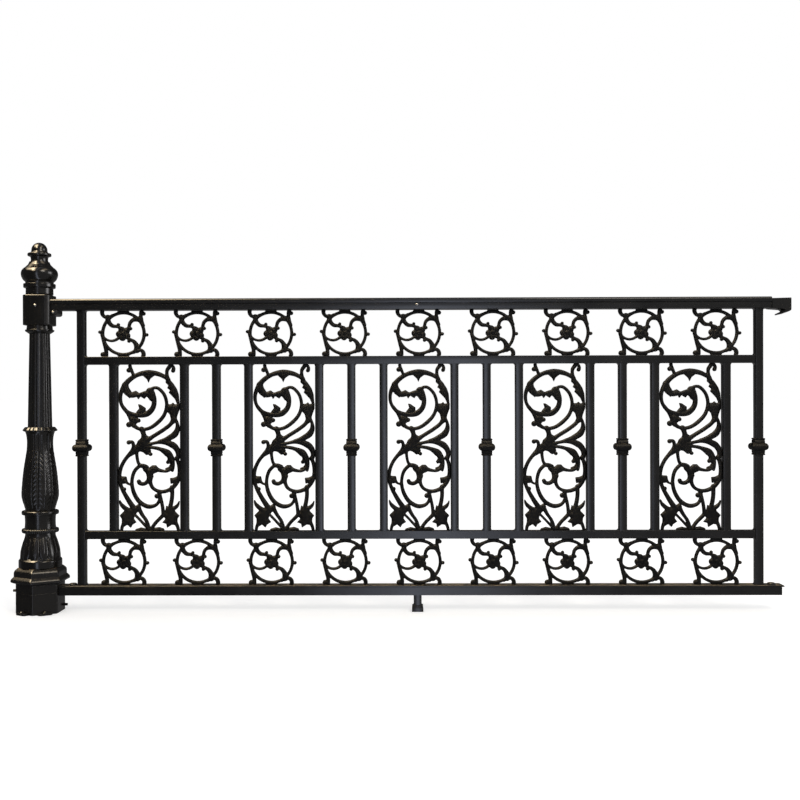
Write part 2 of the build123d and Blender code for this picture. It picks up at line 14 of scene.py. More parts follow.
import bmesh
import bpy
import numpy as np
from mathutils import Matrix, Vector


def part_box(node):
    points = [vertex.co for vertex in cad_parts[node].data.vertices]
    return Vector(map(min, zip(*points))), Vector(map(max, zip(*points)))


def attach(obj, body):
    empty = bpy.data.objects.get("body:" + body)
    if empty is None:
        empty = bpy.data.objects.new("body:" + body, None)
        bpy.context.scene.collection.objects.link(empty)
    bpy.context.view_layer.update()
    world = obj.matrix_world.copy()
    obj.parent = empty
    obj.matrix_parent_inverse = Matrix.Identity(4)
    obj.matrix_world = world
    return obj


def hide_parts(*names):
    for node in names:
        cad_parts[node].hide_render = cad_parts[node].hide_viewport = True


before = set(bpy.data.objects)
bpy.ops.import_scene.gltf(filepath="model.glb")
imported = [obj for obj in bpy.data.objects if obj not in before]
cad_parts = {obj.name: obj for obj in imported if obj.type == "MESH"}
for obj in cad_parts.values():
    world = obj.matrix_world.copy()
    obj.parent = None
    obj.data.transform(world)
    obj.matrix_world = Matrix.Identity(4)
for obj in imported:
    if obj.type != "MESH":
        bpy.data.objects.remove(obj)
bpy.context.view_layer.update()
log = logging.getLogger("fence")

Array = np.ndarray
Relief = Callable[[Array, Array], Array]
Socket = bpy.types.NodeSocket
Triple = tuple[float, float, float]


class Axis(Enum):
    """Direction that a section is carried along, with the two directions of the section."""

    ALONG = (1, 2, 0)
    DEEP = (0, 2, 1)
    UP = (0, 1, 2)


class Slot(Enum):
    """The record's material slots."""

    POST = "post_paint"
    BAR = "bar_paint"
    CASTING = "casting_paint"


@dataclass(frozen=True)
class Span:
    """Box of a CAD node in millimetres."""

    low: Array
    high: Array

    @property
    def middle(self) -> Array:
        """Centre of the box."""
        return (self.low + self.high) / 2

    @property
    def half(self) -> Array:
        """Half of its size along each direction."""
        return (self.high - self.low) / 2


def node_span(node: str) -> Span:
    """Box of a CAD node in millimetres."""
    low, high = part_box(node)
    return Span(np.array(low) * 1000, np.array(high) * 1000)


def smooth_step(low: float, high: float, value: Array) -> Array:
    """0 below low, 1 above high and 3t^2 - 2t^3 between."""
    share = np.clip((value - low) / (high - low), 0, 1)
    return share * share * (3 - 2 * share)


def smooth_max(first: Array, second: Array, blend: float) -> Array:
    """Larger of two fields, with a fillet of (blend - |a - b|)^2 / 4 blend where they are close."""
    near = np.maximum(blend - np.abs(first - second), 0)
    return np.maximum(first, second) + near * near / (4 * blend)


def rounded(corners: list[Triple], closed: bool = True, steps: int = 6) -> Array:
    """Round a polyline's corners.

    Each corner C is swapped for (1-t)^2 A + 2t(1-t) C + t^2 B, where A and B lie on its two runs
    at the rounding distance from it, held to under half a run.

    Args:
        corners: (first, second, rounding) of each corner.
        closed: whether the last corner joins the first.
        steps: spans in each rounded corner.

    Returns:
        Points of the outline, one row each.
    """
    data = np.array(corners, float)
    place, size = data[:, :2], data[:, 2]
    share = np.linspace(0, 1, steps + 1)[:, None]
    runs = []
    for index, corner in enumerate(place):
        if size[index] <= 0 or (not closed and index in (0, len(place) - 1)):
            runs.append(corner[None])
            continue
        before = place[index - 1] - corner
        after = place[(index + 1) % len(place)] - corner
        start = corner + before * min(size[index] / np.linalg.norm(before), 0.49)
        end = corner + after * min(size[index] / np.linalg.norm(after), 0.49)
        runs.append((1 - share) ** 2 * start + 2 * share * (1 - share) * corner + share**2 * end)
    return np.concatenate(runs)


def closed_profile(corners: list[Triple], steps: int = 6) -> Array:
    """Side profile (radius, height) with rounded corners that starts and ends on the axis."""
    foot, head = ((0.0, corner[1], 0.0) for corner in (corners[0], corners[-1]))
    return rounded([foot, *corners, head], closed=False, steps=steps)


def box_section(half_width: float, half_height: float, rounding: float, steps: int = 4) -> Array:
    """Rectangle about the origin with rounded corners."""
    signs = ((-1, -1), (1, -1), (1, 1), (-1, 1))
    return rounded([(x * half_width, y * half_height, rounding) for x, y in signs], steps=steps)


def bevelled(low: float, high: float, bevel: float) -> list[tuple[float, float]]:
    """Levels of a prism from low to high with bevelled ends."""
    return [(low, bevel), (low + bevel, 0), (high - bevel, 0), (high, bevel)]


def dense(path: Array, spread: float) -> Array:
    """Split the runs of a path.

    Args:
        path: points, one row each.
        spread: longest step that is left.

    Returns:
        The path's own points and the new ones between them.
    """
    length = np.linalg.norm(np.diff(path, axis=0), axis=1)
    total = np.concatenate([[0], np.cumsum(length)])
    pieces = [
        np.linspace(start, end, max(int(np.ceil((end - start) / spread)), 1), endpoint=False)
        for start, end in zip(total, total[1:])
        if end > start
    ]
    where = np.concatenate([*pieces, total[-1:]])
    return np.stack([np.interp(where, total, path[:, 0]), np.interp(where, total, path[:, 1])], axis=1)


def spline(points: Array, per_span: int) -> Array:
    """Smooth path through points.

    Each span is the Hermite cubic between its ends. Its tangents are the slopes of the parabola
    through three neighbouring points, over chord length.

    Args:
        points: points to pass through, one row each.
        per_span: samples in each span.

    Returns:
        Points along the path.
    """
    chord = np.linalg.norm(np.diff(points, axis=0), axis=1)
    slope = np.diff(points, axis=0) / chord[:, None]
    weight = (chord[:-1] / (chord[:-1] + chord[1:]))[:, None]
    inner = slope[:-1] * (1 - weight) + slope[1:] * weight
    tangent = np.concatenate([2 * slope[:1] - inner[:1], inner, 2 * slope[-1:] - inner[-1:]])
    t = np.linspace(0, 1, per_span, endpoint=False)[None, :, None]
    start, end = points[:-1, None], points[1:, None]
    push, pull = tangent[:-1, None] * chord[:, None, None], tangent[1:, None] * chord[:, None, None]
    path = (
        (2 * t**3 - 3 * t**2 + 1) * start
        + (t**3 - 2 * t**2 + t) * push
        + (3 * t**2 - 2 * t**3) * end
        + (t**3 - t**2) * pull
    )
    return np.concatenate([path.reshape(-1, 2), points[-1:]])


class Shell:
    """Closed surface of one piece, gathered patch by patch in millimetres."""

    def __init__(self) -> None:
        """Start with no patches."""
        self.points: list[Array] = []
        self.faces: list[Array] = []
        self.count = 0

    def add(self, points: Array, *faces: Array) -> None:
        """Add points and the faces between them.

        Args:
            points: places, one row each.
            faces: arrays of point numbers, one row for each face.
        """
        self.points.append(points)
        self.faces.extend(block + self.count for block in faces)
        self.count += len(points)

    def grid(self, points: Array) -> None:
        """Add quads between neighbouring rows and columns, with the last column joined to the first.

        Args:
            points: grid of (rows, columns, 3).
        """
        rows, columns = points.shape[:2]
        index = np.arange(rows * columns).reshape(rows, columns)
        index = np.concatenate([index, index[:, :1]], axis=1)
        quads = np.stack([index[:-1, :-1], index[:-1, 1:], index[1:, 1:], index[1:, :-1]], axis=-1)
        self.add(points.reshape(-1, 3), quads.reshape(-1, 4))

    def prism(self, section: Array, levels: list[tuple[float, float]], axis: Axis, middle: tuple[float, float]) -> None:
        """Carry a flat section along an axis and close both ends.

        A point of the section at a level is middle + section * (half size - inset) / half size.

        Args:
            section: outline about the origin.
            levels: (place along the axis, inset) pairs.
            axis: direction to carry it in.
            middle: where the section's origin lies.
        """
        half = np.abs(section).max(axis=0)
        place, inset = np.array(levels, float).T
        scale = (half - inset[:, None]) / half
        first, second, third = axis.value
        points = np.empty((len(levels), len(section), 3))
        points[..., [first, second]] = section * scale[:, None] + middle
        points[..., third] = place[:, None]
        start = self.count
        self.grid(points)
        end = np.arange(len(section))[None]
        self.faces += [end + start, end + self.count - len(section)]

    def lathe(
        self, profile: Array, turns: int, relief: Relief | None = None, middle: Triple = (0, 0, 0)
    ) -> None:
        """Turn a profile: (r cos a, r sin a, z) with r the profile's radius plus relief(a, z).

        Args:
            profile: (radius, height) rows, from axis to axis.
            turns: columns round the axis.
            relief: extra radius at an angle and height, left out where the radius is 0.
            middle: foot of the axis.
        """
        angle = np.linspace(0, 2 * pi, turns, endpoint=False)[None]
        radius, height = profile[:, :1], profile[:, 1:]
        if relief is not None:
            radius = np.where(radius > 0, radius + relief(angle, height), 0)
        radius = np.broadcast_to(radius, (len(profile), turns))
        points = np.stack(
            [radius * np.cos(angle), radius * np.sin(angle), np.broadcast_to(height, radius.shape)], axis=-1
        )
        self.grid(points + np.array(middle))

    def build(
        self,
        name: str,
        slot: Slot,
        finish: bpy.types.Material,
        nodes: tuple[str, ...] = (),
        sharp: float = 38.0,
    ) -> bpy.types.Object:
        """Make the gathered surface a piece that rides on the fixed body.

        Args:
            name: name of the piece.
            slot: not used.
            finish: material.
            nodes: CAD nodes that it stands for.
            sharp: angle in degrees above which an edge isn't shaded smooth.

        Returns:
            The new object.
        """
        mesh = bpy.data.meshes.new(name)
        points = np.concatenate(self.points) / 1000
        mesh.from_pydata(points.tolist(), [], [face for block in self.faces for face in block.tolist()])
        form = bmesh.new()
        form.from_mesh(mesh)
        bmesh.ops.remove_doubles(form, verts=form.verts, dist=2e-6)
        bmesh.ops.recalc_face_normals(form, faces=form.faces)
        form.to_mesh(mesh)
        form.free()
        mesh.polygons.foreach_set("use_smooth", np.ones(len(mesh.polygons), dtype=bool))
        mesh.set_sharp_from_angle(angle=radians(sharp))
        mesh.materials.append(finish)
        piece = bpy.data.objects.new(name, mesh)
        bpy.context.scene.collection.objects.link(piece)
        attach(piece, "root")
        if nodes:
            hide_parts(*nodes)
        triangles = sum(len(face.vertices) - 2 for face in mesh.polygons)
        log.info("%s: %d triangles", name, triangles)
        return piece


class NodeTree:
    """Short way to add and join shader nodes."""

    def __init__(self, tree: bpy.types.NodeTree) -> None:
        """Wrap a node tree."""
        self.tree = tree

    def node(self, kind: str, inputs: dict | None = None, **settings: object) -> bpy.types.Node:
        """Add a node.

        Args:
            kind: node type.
            inputs: values or sockets for its inputs, by name or number.
            settings: properties of the node.

        Returns:
            The node.
        """
        made = self.tree.nodes.new(kind)
        for key, value in settings.items():
            setattr(made, key, value)
        for key, value in (inputs or {}).items():
            if isinstance(value, bpy.types.NodeSocket):
                self.tree.links.new(value, made.inputs[key])
            else:
                made.inputs[key].default_value = value
        return made

    def math(self, operation: str, *values: object, clamp: bool = False) -> Socket:
        """Result of one Math node, whose inputs are given in order."""
        return self.node("ShaderNodeMath", dict(enumerate(values)), operation=operation, use_clamp=clamp).outputs[0]

    def ramp(self, value: Socket, low: float, high: float, start: float, end: float, kind: str = "LINEAR") -> Socket:
        """Change from start at low to end at high."""
        inputs = {0: value, 1: low, 2: high, 3: start, 4: end}
        return self.node("ShaderNodeMapRange", inputs, interpolation_type=kind).outputs[0]

    def smooth(self, value: Socket, low: float, high: float, start: float, end: float) -> Socket:
        """Change from start at low to end at high, slow at both ends."""
        return self.ramp(value, low, high, start, end, "SMOOTHSTEP")

    def noise(self, place: Socket, scale: float, detail: float, roughness: float) -> Socket:
        """Cloudy noise over places."""
        inputs = {"Vector": place, "Scale": scale, "Detail": detail, "Roughness": roughness}
        return self.node("ShaderNodeTexNoise", inputs).outputs[0]

    def mix(self, share: Socket, first: object, second: object) -> Socket:
        """Blend of two colours: the first where the share is 0, the second where it is 1."""
        return self.node("ShaderNodeMix", {0: share, 6: first, 7: second}, data_type="RGBA").outputs[2]


def blank_tree(owner: bpy.types.Material | bpy.types.World) -> NodeTree:
    """Empty the node tree of a material or world.

    Args:
        owner: the material or world.

    Returns:
        Its empty tree.
    """
    owner.use_nodes = True
    owner.node_tree.nodes.clear()
    return NodeTree(owner.node_tree)


def node_group(name: str, inputs: dict[str, float], outputs: tuple[str, ...]) -> NodeTree:
    """Start a shader node group whose inputs and outputs are plain values.

    Args:
        name: name of the group.
        inputs: default of each input.
        outputs: name of each output.

    Returns:
        The group's empty tree.
    """
    tree = bpy.data.node_groups.new(name, "ShaderNodeTree")
    for label, default in inputs.items():
        tree.interface.new_socket(label, in_out="INPUT", socket_type="NodeSocketFloat").default_value = default
    for label in outputs:
        tree.interface.new_socket(label, in_out="OUTPUT", socket_type="NodeSocketFloat")
    return NodeTree(tree)


def dust_and_painted_light_mask_group() -> bpy.types.NodeTree:
    """Mask of upward faces, broken up by cloudy noise: settled dust, and on some finishes a painted warm highlight.

    Returns:
        Group with Amount, giving Mask.
    """
    made = node_group("dust_and_painted_light_mask", {"Amount": 0.5}, ("Mask",))
    source = made.node("NodeGroupInput")
    place = made.node("ShaderNodeTexCoord").outputs["Object"]
    normal = made.node("ShaderNodeNewGeometry").outputs["Normal"]
    upward = made.node("ShaderNodeSeparateXYZ", {0: normal}).outputs["Z"]
    lying = made.ramp(upward, 0.72, 0.98, 0.0, 1.0)
    broken = made.ramp(made.noise(place, 14.0, 5.0, 0.62), 0.3, 0.62, 0.35, 1.0)
    mask = made.math("MULTIPLY", made.math("MULTIPLY", lying, broken), source.outputs["Amount"], clamp=True)
    made.node("NodeGroupOutput", {"Mask": mask})
    return made.tree


def paint_skin_group() -> bpy.types.NodeTree:
    """Height of sprayed paint: the soft dimples of the paint over the grain of the casting.

    Returns:
        Group with Dimple and Grain, giving Height and a cloudy Tone.
    """
    made = node_group("paint_skin", {"Dimple": 0.5, "Grain": 0.5}, ("Height", "Tone"))
    source = made.node("NodeGroupInput")
    place = made.node("ShaderNodeTexCoord").outputs["Object"]
    soft = made.math("MULTIPLY", made.noise(place, 260.0, 1.0, 0.4), source.outputs["Dimple"])
    fine = made.math("MULTIPLY", made.noise(place, 700.0, 4.0, 0.65), source.outputs["Grain"])
    tone = made.ramp(made.noise(place, 9.0, 5.0, 0.58), 0.32, 0.68, 0.0, 1.0)
    made.node("NodeGroupOutput", {"Height": made.math("ADD", soft, fine), "Tone": tone})
    return made.tree


@dataclass(frozen=True)
class Paint:
    """Finish of one kind of piece.

    Its colour goes from deep to worn with a cloudy tone. On upward faces it goes to a dust colour: settled dust, which
    on the base finish is also a painted warm highlight and on the bottom rail finish also a painted warm reflection.
    Its roughness goes from the first value of sheen to the second in the same way.
    """

    name: str
    deep: Triple
    worn: Triple
    dust_and_painted_light: Triple
    sheen: tuple[float, float]
    dust_and_painted_light_amount: float
    dimple: float
    grain: float
    bump: float
    gloss: float = 0.5
    metallic: float = 0.0
    dust_and_painted_light_roughness: float = 0.75
    skin_depth: float = 0.0006

    def material(self, dust_and_painted_light: bpy.types.NodeTree, skin: bpy.types.NodeTree) -> bpy.types.Material:
        """Make the paint's material.

        Args:
            dust_and_painted_light: mask group of upward faces, for settled dust and painted warm light.
            skin: paint skin group.

        Returns:
            The material.
        """
        made = bpy.data.materials.new(self.name)
        nodes = blank_tree(made)
        lying = nodes.node("ShaderNodeGroup", {"Amount": self.dust_and_painted_light_amount}, node_tree=dust_and_painted_light)
        surface = nodes.node("ShaderNodeGroup", {"Dimple": self.dimple, "Grain": self.grain}, node_tree=skin)
        tone, mask = surface.outputs["Tone"], lying.outputs["Mask"]
        ground = nodes.mix(tone, (*self.deep, 1), (*self.worn, 1))
        satin = nodes.ramp(tone, 0.0, 1.0, *self.sheen)
        skin_bump = {"Height": surface.outputs["Height"], "Strength": self.bump, "Distance": self.skin_depth}
        # Upward faces blend to the dust colour: settled dust, which on the base and bottom rail finishes is also
        # painted warm light from above.
        shader = nodes.node(
            "ShaderNodeBsdfPrincipled",
            {
                "Base Color": nodes.mix(mask, ground, (*self.dust_and_painted_light, 1)),
                "Roughness": nodes.node("ShaderNodeMix", {0: mask, 2: satin, 3: self.dust_and_painted_light_roughness}).outputs[0],
                "Normal": nodes.node("ShaderNodeBump", skin_bump).outputs[0],
                "Metallic": self.metallic,
                "Specular IOR Level": self.gloss,
            },
        )
        nodes.node("ShaderNodeOutputMaterial", {"Surface": shader.outputs[0]})
        return made


class Finishes:
    """The paints of the fence, made once."""

    def __init__(self) -> None:
        """Make the shared groups and every material."""
        dust_and_painted_light, skin = dust_and_painted_light_mask_group(), paint_skin_group()
        post = Paint(
            "post_black", deep=(0.0036, 0.0034, 0.0034), worn=(0.0075, 0.0068, 0.006), dust_and_painted_light=(0.03, 0.026, 0.021),
            sheen=(0.13, 0.22), dust_and_painted_light_amount=0.35, dimple=0.6, grain=0.4, bump=0.25,
        )
        bar = Paint(
            "bar_black", deep=(0.004, 0.004, 0.0042), worn=(0.007, 0.0068, 0.0066), dust_and_painted_light=(0.03, 0.026, 0.022),
            sheen=(0.15, 0.21), dust_and_painted_light_amount=0.3, dimple=0.5, grain=0.2, bump=0.12,
        )
        casting = Paint(
            "casting_black", deep=(0.002, 0.0019, 0.0019), worn=(0.0062, 0.0059, 0.0057), dust_and_painted_light=(0.017, 0.0155, 0.014),
            sheen=(0.38, 0.52), dust_and_painted_light_amount=0.4, dimple=0.4, grain=1.0, bump=0.4, gloss=0.14,
        )
        zinc = Paint(
            "fixing_zinc", deep=(0.32, 0.31, 0.3), worn=(0.42, 0.41, 0.39), dust_and_painted_light=(0.2, 0.18, 0.15),
            sheen=(0.25, 0.38), dust_and_painted_light_amount=0.2, dimple=0.2, grain=0.6, bump=0.2, metallic=1.0,
        )
        # Bottom rail, cover and plugs: brownish dust on upward faces, which is also a painted warm reflection on the
        # rail's top face.
        walked = replace(bar, name="bottom_rail_black", dust_and_painted_light=(0.085, 0.07, 0.05), dust_and_painted_light_amount=0.85)
        # Base lip and moulding: golden-brown dust on upward slopes, which is also a painted warm highlight of light
        # from above.
        base = replace(post, name="post_base_black", dust_and_painted_light=(0.15, 0.095, 0.045), sheen=(0.24, 0.32), dust_and_painted_light_amount=0.7)
        made = [paint.material(dust_and_painted_light, skin) for paint in (post, bar, walked, casting, base, zinc)]
        self.post, self.bar, self.walked, self.casting, self.base, self.fixing = made


def hexagon(angle: Array, apothem: float, keenness: float = 60.0) -> Array:
    """Radius of a hexagon with soft corners, flats facing 0, 60, 120 degrees and so on.

    The radius is the apothem over the p-norm of max(0, cos(a - 60k)) for k from 0 to 5.

    Args:
        angle: angles in radians.
        apothem: distance of the flats from the axis.
        keenness: p, the keener the corners the higher it is.

    Returns:
        The radius at each angle.
    """
    facing = np.maximum(np.cos(angle[..., None] - np.arange(6) * pi / 3), 0)
    return apothem / (facing**keenness).sum(axis=-1) ** (1 / keenness)


@dataclass
class NewelPost:
    """Turned post on a six-sided foot, with a leafed vase, fluted shaft, rail block and finial."""

    finishes: Finishes
    plinth_corner: float = 77.0
    turns: int = 192
    petals: int = 12
    leaves: int = 8
    scallops: int = 16
    flutes: int = 16
    beads: int = 56
    face_turn: float = -pi / 2
    leaf_groove_turn: float = radians(12)
    petal_groove_turn: float = radians(15)
    block_cut: float = 10.0

    def turned_piece(
        self, node: str, profile: list[Triple], relief: Relief | None = None, spread: float = 6.0,
        turns: int | None = None, sharp: float = 38.0,
    ) -> None:
        """Replace one node of the post by a turned surface.

        Args:
            node: node that it stands for.
            profile: (radius, height over the node's foot, rounding) corners.
            relief: extra radius at an angle and a height over the node's foot.
            spread: longest step along the profile.
            turns: columns round the axis.
            sharp: angle above which an edge stays sharp.
        """
        shell = Shell()
        foot = (0, 0, node_span(node).low[2])
        shell.lathe(dense(closed_profile(profile), spread), turns or self.turns, relief, foot)
        shell.build(f"dressed_{node}", Slot.POST, self.finishes.post, (node,), sharp)

    def hexagon_piece(self, node: str, levels: list[Triple], finish: bpy.types.Material | None = None) -> None:
        """Replace one six-sided node.

        Args:
            node: node that it stands for.
            levels: (corner radius, height over the node's foot, rounding) corners of its side.
            finish: its paint, or none for the post's own.
        """
        side = closed_profile(levels, 4)
        angle = np.linspace(0, 2 * pi, 240, endpoint=False)[None]
        radius = hexagon(angle, cos(pi / 6)) * side[:, :1]
        height = np.broadcast_to(side[:, 1:] + node_span(node).low[2], radius.shape)
        shell = Shell()
        shell.grid(np.stack([radius * np.cos(angle), radius * np.sin(angle), height], axis=-1))
        shell.build(f"dressed_{node}", Slot.POST, finish or self.finishes.post, (node,), 42.0)

    def petal_relief(self, angle: Array, height: Array) -> Array:
        """Twelve pointed petals.

        With u from 0 on a petal's middle to 1 on its edge, the relief is -3.2 (1 - sqrt(1 - w^3))
        plus a rib of 1.1 exp(-(u / 0.1)^2), where w = u over the petal's share of its width there.

        Args:
            angle: angle round the post.
            height: height over the bell's foot.

        Returns:
            Extra radius.
        """
        pitch = 2 * pi / self.petals
        offset = np.mod(angle - self.petal_groove_turn, pitch) / pitch
        across = np.abs(2 * offset - 1)
        tip = np.sqrt(smooth_step(4, 34, height)) * (1 - 0.35 * smooth_step(66, 88, height))
        held = np.clip(across / np.maximum(tip, 0.05), 0, 1)
        window = smooth_step(10, 16, height) * (1 - smooth_step(62, 90, height))
        groove = 3.2 * (1 - np.sqrt(np.maximum(1 - held**3, 0)))
        rib = 1.1 * np.exp(-((across / 0.1) ** 2)) * smooth_step(16, 38, height)
        return window * (rib - groove)

    def bead_relief(self, angle: Array, height: Array) -> Array:
        """Ring of beads: -1.3 (1 - |cos(n a / 2)|^0.7)."""
        return -1.3 * (1 - np.abs(np.cos(angle * self.beads / 2)) ** 0.7) + 0 * height

    def leaf_relief(self, angle: Array, height: Array) -> Array:
        """Eight tall leaves with grooves between them, a middle rib and slanting veins.

        With u from 0 on a leaf's middle to 1 on its edge, the groove is -2.2 exp(-((u - 1) / 0.11)^2),
        the rib 1.1 exp(-(u / 0.07)^2) and the veins 0.45 cos(2 pi (z - 26 u) / 15) between them. Three
        ribs to a leaf, 0.7 high, stand above the leaves.

        Args:
            angle: angle round the post.
            height: height over the vase's foot.

        Returns:
            Extra radius.
        """
        pitch = 2 * pi / self.leaves
        offset = np.mod(angle - self.face_turn - self.leaf_groove_turn, pitch) / pitch
        across = np.abs(2 * offset - 1)
        groove = 2.2 * np.exp(-(((across - 1) / 0.11) ** 2))
        rib = 1.1 * np.exp(-((across / 0.07) ** 2))
        veins = 0.45 * np.cos(2 * pi * (height - 26 * across) / 15)
        body = smooth_step(0.1, 0.22, across) * (1 - smooth_step(0.75, 0.9, across))
        reach = smooth_step(10, 24, height) * (1 - smooth_step(176, 200, height))
        ribs = 0.7 * np.cos(angle * self.leaves * 3)
        ribs = ribs * smooth_step(184, 206, height) * (1 - smooth_step(236, 250, height))
        belly = 0.5 - 0.5 * (across**2)
        leaves = (-groove + rib + belly) * smooth_step(4, 14, height) * (1 - smooth_step(238, 252, height))
        return leaves + veins * body * reach + ribs - 0.7

    def scallop_relief(self, angle: Array, height: Array) -> Array:
        """Sixteen lobes: -2.4 (1 - |cos(n a / 2)|)."""
        lobes = 1 - np.abs(np.cos(angle * self.scallops / 2 + pi / 2))
        return -2.4 * lobes * smooth_step(0, 4, height) * (1 - smooth_step(13, 15, height))

    def flute_relief(self, angle: Array, height: Array) -> Array:
        """Round flutes: 4.2 - sqrt(6^2 - x^2) below zero, x being the distance from a flute's middle.

        Args:
            angle: angle round the post.
            height: height over the shaft's foot.

        Returns:
            Extra radius.
        """
        pitch = 2 * pi / self.flutes
        away = (np.mod(angle + pitch / 2, pitch) - pitch / 2) * 35.0
        return np.minimum(4.2 - np.sqrt(np.maximum(36 - away**2, 0)), 0) + 0 * height

    def base(self) -> None:
        """Build the plinth with a line cut round it, its lip and its moulding."""
        corner = self.plinth_corner
        lip, upper, groove = corner + 16, corner + 6, corner - 0.7
        self.hexagon_piece(
            "post_plinth",
            [
                (corner, 0, 0.8), (corner, 65.1, 0.1), (groove, 65.2, 0.1), (groove, 66.2, 0.3), (corner, 66.8, 0.5),
                (corner, 91, 0.5),
            ],
        )
        # The lip and moulding take the base paint, whose golden-brown on upward slopes is dust and a painted warm
        # highlight.
        self.hexagon_piece(
            "post_base_lip", [(corner, 0, 0), (corner, 3, 1), (lip, 9, 3), (lip, 17, 5), (upper, 26, 1)],
            self.finishes.base,
        )
        self.hexagon_piece(
            "post_base_moulding", [(upper, 0, 0), (upper, 21, 6), (corner - 6, 31, 1)], self.finishes.base
        )

    def build(self) -> None:
        """Build the post from the ground up."""
        self.base()
        self.turned_piece("post_base_band", [(64.7, 8, 0), (66.7, 11, 1.5), (66.7, 32, 3), (62, 36, 0)])
        self.turned_piece(
            "post_bell",
            [(62.6, 10, 0), (62, 22, 6), (60.2, 38, 12), (55, 58, 14), (47, 83, 4), (46, 93, 0)],
            self.petal_relief, spread=2.5, turns=288, sharp=60,
        )
        self.turned_piece(
            "post_drum_ring", [(50, 0, 0), (57, 1, 6), (57, 13, 6), (50, 14, 0)], self.bead_relief, turns=448, sharp=60
        )
        self.turned_piece("post_drum", [(48, 0, 0), (46.4, 22, 18), (48, 44, 0)])
        self.turned_piece("post_vase_foot", [(51, 0, 0), (57, 0.5, 5.5), (57, 12.5, 5.5), (51, 13, 0)])
        self.turned_piece(
            "post_vase",
            [
                (46, 0, 0), (48.5, 14, 12), (57.2, 42, 14), (57.2, 62, 18), (52, 125, 30), (42, 185, 26),
                (39.3, 215, 14), (41, 238, 10), (46, 252, 0),
            ],
            self.leaf_relief, spread=2.6, turns=288, sharp=60,
        )
        self.turned_piece(
            "post_vase_lip", [(46, 0, 0), (53, 2.5, 2), (54, 5, 1.5), (46.5, 14.6, 2), (40, 15, 0)],
            self.scallop_relief, spread=2.0, sharp=50,
        )
        shaft = node_span("post_shaft")
        tall = float(shaft.high[2] - shaft.low[2])
        self.turned_piece(
            "post_shaft", [(37.5, 0, 0), (31.5, tall, 0)], self.flute_relief, spread=30, turns=320, sharp=50
        )
        self.turned_piece(
            "post_capital", [(33, 0, 0), (44.5, 8, 1.6), (44.5, 12.4, 0.6), (40.5, 12.8, 0.4), (39, 26, 0)]
        )
        self.turned_piece(
            "post_neck", [(39, 0, 0), (42.4, 3, 1), (42, 22, 1), (49.4, 24, 2.5), (49.4, 36.4, 1.6), (44, 37, 0)]
        )
        self.turned_piece(
            "post_ball",
            [
                (43, 0, 0), (43.5, 6, 3), (51, 12, 9), (56.6, 25, 9), (56.6, 37, 10), (52, 46, 5), (43.5, 52.5, 2),
                (34, 62, 4), (31, 70, 0),
            ],
            spread=4,
        )
        dome = [(24.5 * cos(a), 37.5 + 24.5 * sin(a), 0.0) for a in np.linspace(0.05, pi / 2 - 0.02, 14)]
        self.turned_piece(
            "post_finial",
            [
                (27, 0, 0), (26, 9, 5), (28, 17, 2), (36.5, 18.5, 3.5), (36.5, 27.5, 3.5), (30, 28.5, 1),
                (25.5, 31.5, 2), (24.5, 37, 0), *dome,
            ],
        )
        self.rail_block()
        self.paint_lugs()

    def rail_block(self) -> None:
        """Square block with cut corners, bevelled at both ends."""
        span = node_span("post_rail_block")
        half, bottom, top = span.half[0], span.low[2], span.high[2]
        corners = []
        for turn in range(4):
            c, s = round(cos(turn * pi / 2)), round(sin(turn * pi / 2))
            for x, y in ((half, half - self.block_cut), (half - self.block_cut, half)):
                corners.append((x * c - y * s, x * s + y * c, 2.0))
        shell = Shell()
        shell.prism(
            rounded(corners, steps=4),
            [
                (bottom, 2.2), (bottom + 0.7, 0.9), (bottom + 2.2, 0), (bottom + 3, 0), (top - 3, 0), (top - 2.2, 0),
                (top - 0.7, 0.9), (top, 2.4),
            ],
            Axis.UP, (0, 0),
        )
        shell.build("dressed_post_rail_block", Slot.POST, self.finishes.post, ("post_rail_block",))

    def paint_lugs(self) -> None:
        """Give the bolting lugs, whose solid is right as it is, the post's paint."""
        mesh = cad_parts["post_base_lugs"].data
        mesh.materials.clear()
        mesh.materials.append(self.finishes.post)
        log.info("post_base_lugs: painted")


